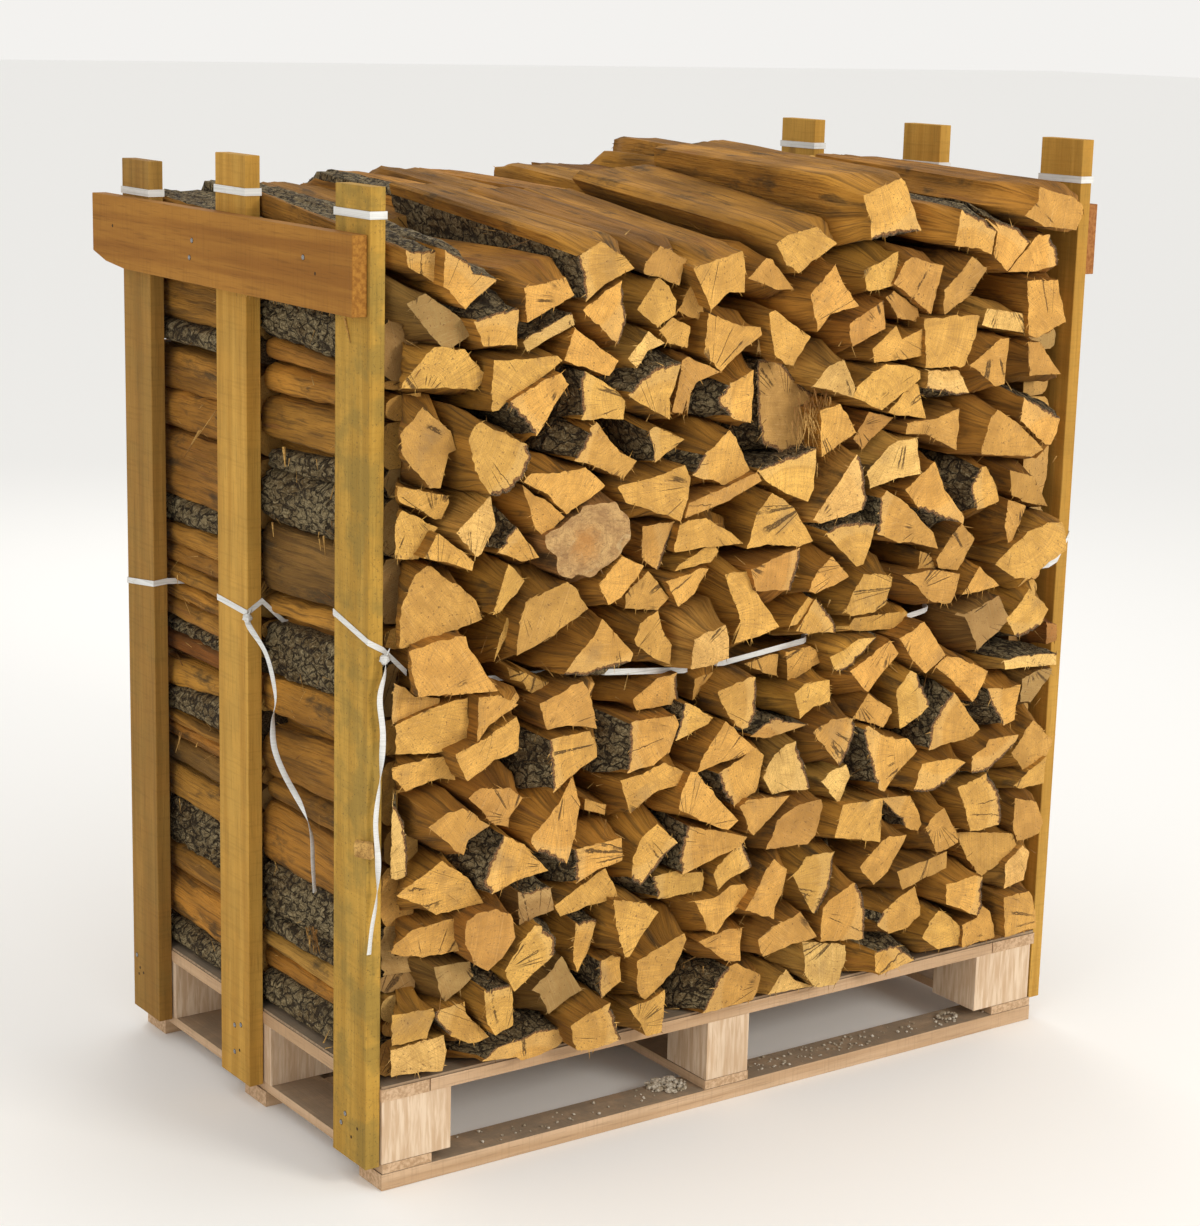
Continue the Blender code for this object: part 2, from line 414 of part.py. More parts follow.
def grown(poly, by):
    """The outline with every edge moved out, inside its own box grown by the same."""
    x0, x1 = min(p[0] for p in poly) - by, max(p[0] for p in poly) + by
    z0, z1 = min(p[1] for p in poly) - by, max(p[1] for p in poly) + by
    result = [(x0, z0), (x1, z0), (x1, z1), (x0, z1)]
    for n in edge_normals(poly):
        reach = max(n[0] * p[0] + n[1] * p[1] for p in poly)
        result = keep_side(result, n, reach + by)
    return result


def parting_line(one, other):
    """The direction that parts two outlines best, and the middle of the gap along it."""
    best = None
    normals = list(edge_normals(one)) + [(-n[0], -n[1]) for n in edge_normals(other)]
    for n in normals:
        near = max(n[0] * p[0] + n[1] * p[1] for p in one)
        far = min(n[0] * p[0] + n[1] * p[1] for p in other)
        if best is None or far - near > best[0]:
            best = (far - near, n, (far + near) / 2)
    return best


def twine_height(line, x):
    return float(np.interp(x, [p[0] for p in line], [p[1] for p in line]))


def clear_of_twine(poly, line, above):
    """Cut an outline back from the slot that the twine runs in."""
    x0, x1 = min(p[0] for p in poly), max(p[0] for p in poly)
    for (xa, za), (xb, zb) in zip(line, line[1:]):
        if xb < x0 or xa > x1 or len(poly) < 3:
            continue
        slope = (zb - za) / (xb - xa)
        if above:
            poly = keep_side(poly, (slope, -1.0), slope * xa - za - SLOT_HALF)
        else:
            poly = keep_side(poly, (-slope, 1.0), za - slope * xa - SLOT_HALF)
    return poly


def boxes_meet(a, b):
    return (min(p[0] for p in a) < max(p[0] for p in b) and min(p[0] for p in b) < max(p[0] for p in a)
            and min(p[1] for p in a) < max(p[1] for p in b) and min(p[1] for p in b) < max(p[1] for p in a))


def overlap_area(a, b):
    """Area that two convex outlines share."""
    shared = list(a)
    for n in edge_normals(b):
        if len(shared) < 3:
            return 0.0
        shared = keep_side(shared, n, max(n[0] * p[0] + n[1] * p[1] for p in b))
    return area(shared) if len(shared) > 2 else 0.0


def front_row():
    """True outlines of the front row: where each end stands, seen from the eye."""
    logs = []
    for proud, *numbers in FRONT_LOGS:
        proud = proud / 1000
        nearer = 1 - proud / (-EYE[1] - DEPTH / 2)
        corners = []
        for x, z in zip(numbers[0::2], numbers[1::2]):
            corners.append((EYE[0] + (x / 1000 - EYE[0]) * nearer, EYE[2] + (z / 1000 - EYE[2]) * nearer))
        logs.append({"proud": proud, "outline": hull(corners)})
    return logs


def back_row():
    """The back row: the front one turned round, shifted to its own twine, with its own top."""
    logs = []
    for log in front_row():
        if centre(log["outline"])[1] > MIRROR_BELOW:
            continue
        corners = []
        for x, z in log["outline"]:
            shift = twine_height(BACK_TWINE, -x) - twine_height(FRONT_TWINE, x)
            share = np.interp(z, (DECK_TOP, twine_height(FRONT_TWINE, x), MIRROR_BELOW), (0.0, 1.0, 0.0))
            corners.append((-x, z + shift * float(share)))
        logs.append({"proud": log["proud"] * BACK_PROUD, "outline": hull(corners)})
    for proud, *numbers in BACK_TOP_LOGS:
        corners = [(x / 1000, z / 1000) for x, z in zip(numbers[0::2], numbers[1::2])]
        logs.append({"proud": proud / 1000, "outline": hull(corners)})
    return logs


def has_roof(log, logs):
    """Whether another log lies on top of this one."""
    x, z = centre(log["outline"])
    for other in logs:
        ox, oz = centre(other["outline"])
        if other is not log and abs(ox - x) < 0.11 and 0.02 < oz - z < 0.20:
            return True
    return False


def fit_together(logs, line, most_corners, grow, rng):
    """Grow the outlines until they touch, each kept on its own side of every neighbour."""
    for log in logs:
        log["above"] = centre(log["outline"])[1] > twine_height(line, centre(log["outline"])[0])
        log["core"] = fewer_corners(log["outline"], most_corners)
        log["reach"] = grown(log["core"], grow)
    for log in logs:
        fit = log["reach"]
        for other in logs:
            if other is log or not boxes_meet(fit, other["reach"]):
                continue
            _, n, middle = parting_line(log["core"], other["core"])
            same = log["group"] == other["group"]
            knit = KNIT * rng.uniform(0.35, 0.75)
            fit = keep_side(fit, n, middle + (knit if same else -GROUP_GAP / 2))
            if len(fit) < 3:
                break
        xs = [p[0] for p in log["core"]]
        side = STACK_SIDE - rng.uniform(0.0, 0.008)
        if grow == GROW and max(abs(x) for x in xs) > 0.57:
            side = min(side, max(abs(x) for x in xs) + SIDE_GROW)
        if len(fit) > 2:
            fit = keep_side(fit, (-1.0, 0.0), side)
            fit = keep_side(fit, (1.0, 0.0), side)
            fit = keep_side(fit, (0.0, -1.0), -(DECK_TOP + GAP + rng.uniform(0.0, 0.0008)))
            if not has_roof(log, logs):
                fit = keep_side(fit, (0.0, 1.0), max(p[1] for p in log["core"]) + 0.002)
            fit = clear_of_twine(fit, line, log["above"])
        if len(fit) > 2:
            fit = fewer_corners([p for p in hull(fit)], most_corners + 1, 0.00001)
        log["fit"] = fit if len(fit) > 2 and area(fit) > 0.0004 else None


def settle_groups(logs, line, most_corners, grow):
    """A log that touches nothing in its own group joins the group that it does touch."""
    for attempt in range(6):
        fit_together(logs, line, most_corners, grow, random.Random(SEED))
        whole = [log for log in logs if log["fit"]]
        moved = False
        for name in sorted({log["group"] for log in whole}):
            members = [log for log in whole if log["group"] == name]
            cluster = largest_cluster(members)
            for log in members:
                if not any(log is other for other in cluster):
                    log["group"] = nearest_group(log, whole)
                    moved = True
        if not moved:
            break
    joined = []
    for name in sorted({log["group"] for log in whole}):
        joined += largest_cluster([log for log in whole if log["group"] == name])
    return joined


def touching(a, b):
    return boxes_meet(a["fit"], b["fit"]) and overlap_area(a["fit"], b["fit"]) > 0.000004


def largest_cluster(members):
    left = list(members)
    best = []
    while left:
        cluster = [left.pop(0)]
        for log in cluster:
            for other in list(left):
                if touching(log, other):
                    cluster.append(other)
                    left = [item for item in left if item is not other]
        if len(cluster) > len(best):
            best = cluster
    return best


def nearest_group(log, whole):
    """The other group whose log lies closest to this one, on the same side of the twine."""
    best = None
    for other in whole:
        if other["group"] == log["group"] or other["above"] != log["above"]:
            continue
        gap = parting_line(log["core"], other["core"])[0]
        if best is None or gap < best[0]:
            best = (gap, other["group"])
    return best[1]


def name_front_groups(logs):
    columns = ("far_left", "left", "right", "far_right")
    for log in logs:
        x, z = centre(log["outline"])
        column = columns[sum(x > edge for edge in COLUMN_EDGES)]
        if z > twine_height(FRONT_TWINE, x):
            band = "top" if z > HIGH_BAND else "upper"
        else:
            band = "lower" if z > LOW_BAND else "bottom"
        log["group"] = f"firewood_front_{band}_{column}"


def name_back_groups(logs):
    for log in logs:
        x, z = centre(log["outline"])
        side = "left" if x < 0 else "right"
        band = "upper" if z > twine_height(BACK_TWINE, x) else "lower"
        log["group"] = f"firewood_back_{band}_{side}"


def clean_scene():
    for obj in list(bpy.data.objects):
        bpy.data.objects.remove(obj, do_unlink=True)


def material(name, color, roughness):
    mat = bpy.data.materials.new(name)
    mat.use_nodes = True
    shader = mat.node_tree.nodes["Principled BSDF"]
    shader.inputs["Base Color"].default_value = (*color, 1.0)
    shader.inputs["Roughness"].default_value = roughness
    return mat


def new_object(name, data, collection, mat=None):
    obj = bpy.data.objects.new(name, data)
    collection.objects.link(obj)
    if mat is not None:
        data.materials.append(mat)
    return obj


def sawn_edges(obj, width=SAWN_EDGE):
    bevel = obj.modifiers.new("sawn_edges", "BEVEL")
    bevel.width = width
    bevel.segments = 1
    bevel.limit_method = "ANGLE"


def board(name, low, high, collection, mat):
    """A straight board between two opposite corners."""
    mesh = bpy.data.meshes.new(name)
    bm = bmesh.new()
    bmesh.ops.create_cube(bm, size=1.0)
    size = [b - a for a, b in zip(low, high)]
    bmesh.ops.scale(bm, vec=size, verts=bm.verts)
    bm.to_mesh(mesh)
    bm.free()
    obj = new_object(name, mesh, collection, mat)
    obj.location = [(a + b) / 2 for a, b in zip(low, high)]
    return obj


def prism(name, outline, y0, y1, collection, mat=None):
    """A straight log: its end outline drawn out from y0 to y1."""
    mesh = bpy.data.meshes.new(name)
    bm = bmesh.new()
    verts = [bm.verts.new((x, y0, z)) for x, z in outline]
    face = bmesh.ops.contextual_create(bm, geom=verts)["faces"]
    drawn = bmesh.ops.extrude_face_region(bm, geom=face)
    moved = [item for item in drawn["geom"] if isinstance(item, bmesh.types.BMVert)]
    bmesh.ops.translate(bm, vec=(0.0, y1 - y0, 0.0), verts=moved)
    bmesh.ops.recalc_face_normals(bm, faces=bm.faces)
    bm.to_mesh(mesh)
    bm.free()
    return new_object(name, mesh, collection, mat)


def log_group(name, logs, collection, cutters, mat):
    """Logs that lie against each other, made one body."""
    first = logs[0]
    obj = prism(name, first["fit"], first["y0"], first["y1"], collection, mat)
    for number, log in enumerate(logs[1:], start=2):
        other = prism(f"{name}_log_{number}", log["fit"], log["y0"], log["y1"], cutters)
        other.hide_render = True
        other.display_type = "WIRE"
        union = obj.modifiers.new(f"log_{number}", "BOOLEAN")
        union.operation = "UNION"
        union.solver = "EXACT"
        union.object = other
    return obj


def in_touching_order(logs):
    """From the first log outwards, each next one touching one already listed."""
    ordered = [logs[0]]
    left = logs[1:]
    while left:
        found = None
        for log in left:
            if any(touching(log, done) for done in ordered):
                found = log
                break
        ordered.append(found or left[0])
        left = [log for log in left if log is not ordered[-1]]
    return ordered


def strap_band(name, path, collection, mat):
    """A closed flat strap: its middle line drawn up to the strap's height, then given thickness."""
    mesh = bpy.data.meshes.new(name)
    bm = bmesh.new()
    verts = [bm.verts.new((x, y, z - STRAP_HEIGHT / 2)) for x, y, z in path]
    edges = []
    for a, b in zip(verts, verts[1:] + verts[:1]):
        edges.append(bm.edges.new((a, b)))
    drawn = bmesh.ops.extrude_edge_only(bm, edges=edges)
    moved = [item for item in drawn["geom"] if isinstance(item, bmesh.types.BMVert)]
    bmesh.ops.translate(bm, vec=(0.0, 0.0, STRAP_HEIGHT), verts=moved)
    bmesh.ops.recalc_face_normals(bm, faces=bm.faces)
    bm.to_mesh(mesh)
    bm.free()
    obj = new_object(name, mesh, collection, mat)
    thick = obj.modifiers.new("strap_thickness", "SOLIDIFY")
    thick.thickness = STRAP_THICK
    thick.offset = 0.0
    thick.use_even_offset = True
    return obj


def strap_ring(name, post, z, collection, mat):
    """The strap end tied round one post near its top."""
    side, y, _ = POSTS[post]
    off = STRAP_GAP + STRAP_THICK / 2
    inner = side * (LENGTH / 2 + GAP - off)
    outer = side * (LENGTH / 2 + GAP + POST_THICK + off)
    y0 = y - POST_WIDTH / 2 - off
    y1 = y + POST_WIDTH / 2 + off
    path = [(inner, y0, z), (outer, y0, z), (outer, y1, z), (inner, y1, z)]
    return strap_band(name, path, collection, mat)


def twine_loop(name, left, right, front_line, back_line, outer_z, collection, mat):
    """A tie right round the stack and one post of each side, slanting over their outer faces."""
    off = STRAP_GAP + STRAP_THICK / 2
    edge = LENGTH / 2 + GAP + POST_THICK + off
    path = []
    for line, sign, zs in ((front_line, -1, outer_z[0]), (back_line, 1, outer_z[1])):
        y_left = POSTS[left][1] + sign * (POST_WIDTH / 2 + off)
        y_right = POSTS[right][1] + sign * (POST_WIDTH / 2 + off)
        run = [(-edge, y_left, zs[0])]
        for x, z in line:
            share = (x + edge) / (2 * edge)
            run.append((x, y_left + (y_right - y_left) * share, z))
        run.append((edge, y_right, zs[1]))
        path += run if sign < 0 else run[::-1]
    return strap_band(name, path, collection, mat)


def smooth_route(points, step):
    """Even points along a smooth curve through the route points."""
    pts = [Vector(p) for p in points]
    ends = [pts[0] * 2 - pts[1]] + pts + [pts[-1] * 2 - pts[-2]]
    dense = []
    for a, b, c, d in zip(ends, ends[1:], ends[2:], ends[3:]):
        for i in range(24):
            t = i / 24
            dense.append(0.5 * (2 * b + (c - a) * t + (2 * a - 5 * b + 4 * c - d) * t ** 2
                                + (3 * b - a - 3 * c + d) * t ** 3))
    dense.append(pts[-1])
    lengths = [0.0]
    for a, b in zip(dense, dense[1:]):
        lengths.append(lengths[-1] + (b - a).length)
    count = max(2, round(lengths[-1] / step))
    spots = [lengths[-1] * i / count for i in range(count + 1)]
    return [[float(np.interp(s, lengths, [p[k] for p in dense])) for k in range(3)] for s in spots]


def twine_end(name, route, collection, mat):
    """A loose end of twine, as a thin tube along its route."""
    curve = bpy.data.curves.new(name, "CURVE")
    curve.dimensions = "3D"
    curve.bevel_depth = TWINE_END_DIAMETER / 2
    curve.bevel_resolution = 2
    curve.use_fill_caps = True
    points = smooth_route(route, TWINE_END_DIAMETER * 2.6)
    spline = curve.splines.new("POLY")
    spline.points.add(len(points) - 1)
    for point, co in zip(spline.points, points):
        point.co = (*co, 1.0)
    return new_object(name, curve, collection, mat)


def cross_board(name, side, size, collection, mat):
    """A rough board across three posts, the lower corner of its back end worn away."""
    low, high = size["front"], size["back"]
    bottom, top = size["bottom"], size["top"]
    outline = [(low, bottom), (low, top), (high, top)]
    if size["corner"] > 0:
        outline += [(high, bottom + size["corner_rise"]),
                    (high - size["corner"] * 0.4, bottom + size["corner_rise"] * 0.35),
                    (high - size["corner"], bottom)]
    else:
        outline += [(high, bottom)]
    inner = side * (LENGTH / 2 + 2 * GAP + POST_THICK)
    outer = side * (LENGTH / 2 + 2 * GAP + POST_THICK + CROSS_THICK)
    mesh = bpy.data.meshes.new(name)
    bm = bmesh.new()
    verts = [bm.verts.new((inner, y, z)) for y, z in outline]
    face = bmesh.ops.contextual_create(bm, geom=verts)["faces"]
    drawn = bmesh.ops.extrude_face_region(bm, geom=face)
    moved = [item for item in drawn["geom"] if isinstance(item, bmesh.types.BMVert)]
    bmesh.ops.translate(bm, vec=(outer - inner, 0.0, 0.0), verts=moved)
    bmesh.ops.recalc_face_normals(bm, faces=bm.faces)
    bm.to_mesh(mesh)
    bm.free()
    obj = new_object(name, mesh, collection, mat)
    sawn_edges(obj)
    return obj


def build_pallet(collection, dusty, pale, block_wood):
    half = DEPTH / 2
    for place, (y0, y1) in BASE_ROWS.items():
        board(f"bottom_board_{place}", (-0.599, y0, 0.0), (0.599, y1, BASE_TOP), collection, dusty)
    for place, (x0, x1) in LOWER_RUNNERS.items():
        board(f"lower_runner_{place}", (x0, -half + 0.001, BASE_TOP + GAP),
              (x1, half - 0.001, RUNNER_TOP), collection, pale)
    for depth_place, (y0, y1) in BLOCK_ROWS.items():
        for place, (x0, x1) in BLOCK_COLUMNS.items():
            board(f"block_{depth_place}_{place}", (x0, y0, RUNNER_TOP + GAP), (x1, y1, BLOCK_TOP),
                  collection, block_wood)
    for place, (x0, x1) in UPPER_RUNNERS.items():
        board(f"upper_runner_{place}", (x0, -half, BLOCK_TOP + GAP), (x1, half, FRAME_TOP), collection, dusty)
    left, right = UPPER_RUNNERS["left"][1] + BUTT_GAP, UPPER_RUNNERS["right"][0] - BUTT_GAP
    for place, (y0, y1) in UPPER_ROWS.items():
        board(f"upper_board_{place}", (left, y0, BLOCK_TOP + GAP), (right, y1, FRAME_TOP), collection, dusty)
    board("deck_sheet", (-0.5985, -half + 0.002, FRAME_TOP + GAP), (0.5985, half - 0.002, DECK_TOP),
          collection, dusty)


def build_posts(collection, mats):
    for name, (side, y, top) in POSTS.items():
        x0, x1 = sorted((side * (LENGTH / 2 + GAP), side * (LENGTH / 2 + GAP + POST_THICK)))
        mat = mats["weathered"] if name == "post_left_front" else mats["post"]
        low, high = (x0, y - POST_WIDTH / 2, POST_FOOT), (x1, y + POST_WIDTH / 2, top)
        sawn_edges(board(name, low, high, collection, mat))
    cross_board("cross_board_left", -1, LEFT_CROSS, collection, mats["cross"])
    cross_board("cross_board_right", 1, RIGHT_CROSS, collection, mats["cross"])


def build_straps(collection, mat):
    for post, z in RINGS.items():
        strap_ring(post.replace("post", "top_strap"), post, z, collection, mat)
    twine_loop("twine_loop_front", "post_left_front", "post_right_front", FRONT_TWINE, FRONT_TWINE,
               ((0.781, 0.772), (0.762, 0.765)), collection, mat)
    twine_loop("twine_loop_middle", "post_left_middle", "post_right_middle", FRONT_TWINE, BACK_TWINE,
               ((0.741, 0.752), (0.731, 0.745)), collection, mat)
    twine_loop("twine_loop_back", "post_left_back", "post_right_back", BACK_TWINE, BACK_TWINE,
               ((0.705, 0.742), (0.714, 0.740)), collection, mat)
    twine_end("twine_end_front", FRONT_END_ROUTE, collection, mat)
    twine_end("twine_end_middle", MIDDLE_END_ROUTE, collection, mat)


def build_row(logs, line, most_corners, grow, front, collection, cutters, mats):
    logs = settle_groups(logs, line, most_corners, grow)
    rng = random.Random(SEED + (0 if front else 1))
    for log in logs:
        inner = ROW_MIDDLE_GAP / 2 + rng.uniform(0.0, END_SCATTER)
        outer = DEPTH / 2 + log["proud"] + rng.uniform(-0.002, 0.002)
        if front:
            log["y0"], log["y1"] = -min(outer, FURTHEST_OUT), -inner
        else:
            log["y0"], log["y1"] = inner, min(outer, FURTHEST_OUT - 0.010)
    for number, name in enumerate(sorted({log["group"] for log in logs})):
        members = in_touching_order([log for log in logs if log["group"] == name])
        log_group(name, members, collection, cutters, mats[number % len(mats)])


def main():
    clean_scene()
    collection = bpy.data.collections.new(NAME)
    cutters = bpy.data.collections.new("cutters")
    bpy.context.scene.collection.children.link(collection)
    bpy.context.scene.collection.children.link(cutters)
    build_pallet(collection, material("dusty_board", (0.36, 0.27, 0.19), 0.9),
                 material("pale_board", (0.55, 0.42, 0.29), 0.9),
                 material("block_end_grain", (0.66, 0.51, 0.33), 0.9))
    build_posts(collection, {"weathered": material("weathered_post", (0.34, 0.29, 0.17), 0.9),
                             "post": material("sawn_post", (0.50, 0.35, 0.21), 0.9),
                             "cross": material("cross_board", (0.52, 0.36, 0.22), 0.9)})
    build_straps(collection, material("white_strap", (0.86, 0.86, 0.84), 0.4))
    oak = [material("split_oak_light", (0.52, 0.35, 0.18), 0.9), material("split_oak_dark", (0.42, 0.28, 0.15), 0.9)]
    front = [log for log in front_row() if area(log["outline"]) > SMALLEST_END]
    name_front_groups(front)
    build_row(front, FRONT_TWINE, OUTLINE_POINTS, GROW, True, collection, cutters, oak)
    back = [log for log in back_row() if area(log["outline"]) > SMALLEST_BACK_END]
    name_back_groups(back)
    build_row(back, BACK_TWINE, BACK_OUTLINE_POINTS, BACK_GROW, False, collection, cutters, oak)


main()
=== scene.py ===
# %% [markdown]
# # A pallet crate of split firewood
#
# The CAD gives the crate its real shape and size: a small pallet, six posts, two boards
# nailed across them, the white twine, and the logs as plain faceted groups. Here the
# groups of logs are replaced by logs made one by one, and every surface gets its look.
# All lengths are in metres. X runs along the front, Y towards the back, Z up.

# %% Load the frame and keep its box
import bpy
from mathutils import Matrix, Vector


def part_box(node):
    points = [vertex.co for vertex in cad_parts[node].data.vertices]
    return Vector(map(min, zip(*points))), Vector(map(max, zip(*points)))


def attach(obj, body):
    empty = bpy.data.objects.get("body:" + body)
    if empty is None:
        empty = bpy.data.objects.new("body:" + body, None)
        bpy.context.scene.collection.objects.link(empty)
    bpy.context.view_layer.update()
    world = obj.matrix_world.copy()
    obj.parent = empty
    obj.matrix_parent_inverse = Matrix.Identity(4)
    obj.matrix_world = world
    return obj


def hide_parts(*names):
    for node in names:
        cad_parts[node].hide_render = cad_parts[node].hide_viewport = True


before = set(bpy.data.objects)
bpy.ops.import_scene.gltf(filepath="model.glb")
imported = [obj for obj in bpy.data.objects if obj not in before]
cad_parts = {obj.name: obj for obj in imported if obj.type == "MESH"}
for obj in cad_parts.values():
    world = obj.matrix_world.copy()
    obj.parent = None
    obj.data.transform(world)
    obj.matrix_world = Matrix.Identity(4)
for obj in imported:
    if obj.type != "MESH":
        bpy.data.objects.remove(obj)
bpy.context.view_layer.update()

import math
import random
import bmesh
import bpy
from mathutils import Matrix, Vector, noise

print("nodes", len(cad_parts))

# %% [markdown]
# ## Camera
# The camera stands a little left of the crate and above it, and looks down on it. It could
# be placed by trial. Here its place, turn and lens are the numbers that fit the pallet's
# corners and the posts' edges in the photograph best, so the two pictures can be compared.

# %% Camera at the photograph's viewing angle
EYE = Vector((-2.2820, -3.2118, 1.5594))
YAW = math.radians(35.3024)
PITCH = math.radians(12.8421)
ROLL = math.radians(1.45883)
FOCAL_PX = 2643.9
IMAGE_WIDTH = 1200

forward = Vector((math.sin(YAW) * math.cos(PITCH), math.cos(YAW) * math.cos(PITCH), -math.sin(PITCH)))
level = Vector((math.cos(YAW), -math.sin(YAW), 0.0))
upward = level.cross(forward)
right = math.cos(ROLL) * level + math.sin(ROLL) * upward
up = -math.sin(ROLL) * level + math.cos(ROLL) * upward

camera_data = bpy.data.cameras.new("camera")
camera_data.sensor_fit = "HORIZONTAL"
camera_data.sensor_width = 36.0
camera_data.lens = FOCAL_PX / IMAGE_WIDTH * camera_data.sensor_width
camera = bpy.data.objects.new("camera", camera_data)
bpy.context.scene.collection.objects.link(camera)
turned = Matrix((right, up, -forward)).transposed().to_4x4()
camera.matrix_world = Matrix.Translation(EYE) @ turned
bpy.context.scene.camera = camera
print("lens", round(camera_data.lens, 2))

# %% [markdown]
# ## Floor and light
# A plain pale floor. One large soft light in front, on the camera's right, shows the log
# ends; the left side stays darker, as in the photograph. Many small lamps would throw hard
# shadows between the logs, so there are only three wide ones and a bright surround.

# %% Floor, background and lights
def flat_material(name, color, roughness):
    mat = bpy.data.materials.new(name)
    mat.use_nodes = True
    shader = mat.node_tree.nodes["Principled BSDF"]
    shader.inputs["Base Color"].default_value = (*color, 1.0)
    shader.inputs["Roughness"].default_value = roughness
    return mat


def link(obj):
    bpy.context.scene.collection.objects.link(obj)
    return obj


def as_mesh(bm, name, *mats):
    """Turn a growing mesh into a mesh datablock with these materials."""
    mesh = bpy.data.meshes.new(name)
    bm.to_mesh(mesh)
    bm.free()
    for mat in mats:
        mesh.materials.append(mat)
    return mesh


FLOOR_HALF = 60.0
FLOOR_Z = -0.0005
bm = bmesh.new()
bmesh.ops.create_grid(bm, x_segments=1, y_segments=1, size=FLOOR_HALF)
floor_paint = flat_material("floor_paint", (0.92, 0.92, 0.91), 0.9)
floor = link(bpy.data.objects.new("floor", as_mesh(bm, "floor", floor_paint)))
floor.location.z = FLOOR_Z

world = bpy.data.worlds.new("studio")
world.use_nodes = True
world.node_tree.nodes["Background"].inputs["Color"].default_value = (1.0, 0.985, 0.96, 1.0)
world.node_tree.nodes["Background"].inputs["Strength"].default_value = 0.90
bpy.context.scene.world = world
bpy.context.scene.view_settings.view_transform = "Standard"


def soft_light(name, place, target, size, watts, color):
    data = bpy.data.lights.new(name, "AREA")
    data.shape = "RECTANGLE"
    data.size, data.size_y = size
    data.energy = watts
    data.color = color
    lamp = link(bpy.data.objects.new(name, data))
    lamp.location = place
    aim = Vector(target) - Vector(place)
    lamp.rotation_euler = aim.to_track_quat("-Z", "Y").to_euler()
    return lamp


soft_light("key", (1.2, -4.6, 2.5), (0.0, -0.2, 0.70), (1.5, 1.1), 100.0, (1.0, 0.95, 0.87))
soft_light("fill", (-4.2, -2.2, 1.8), (-0.5, 0.0, 0.70), (1.6, 1.6), 26.0, (1.0, 0.96, 0.90))
soft_light("back", (1.5, 3.4, 2.8), (0.0, 0.2, 0.80), (2.0, 2.0), 26.0, (1.0, 0.96, 0.90))
print("lights", len(bpy.data.lights), "floor half side", FLOOR_HALF)

# %% [markdown]
# ## Node helpers
# Small functions that add shader nodes and join them, so that each material reads as a
# recipe. Nodes could be joined one by one, but the steps repeat in every kind of wood.

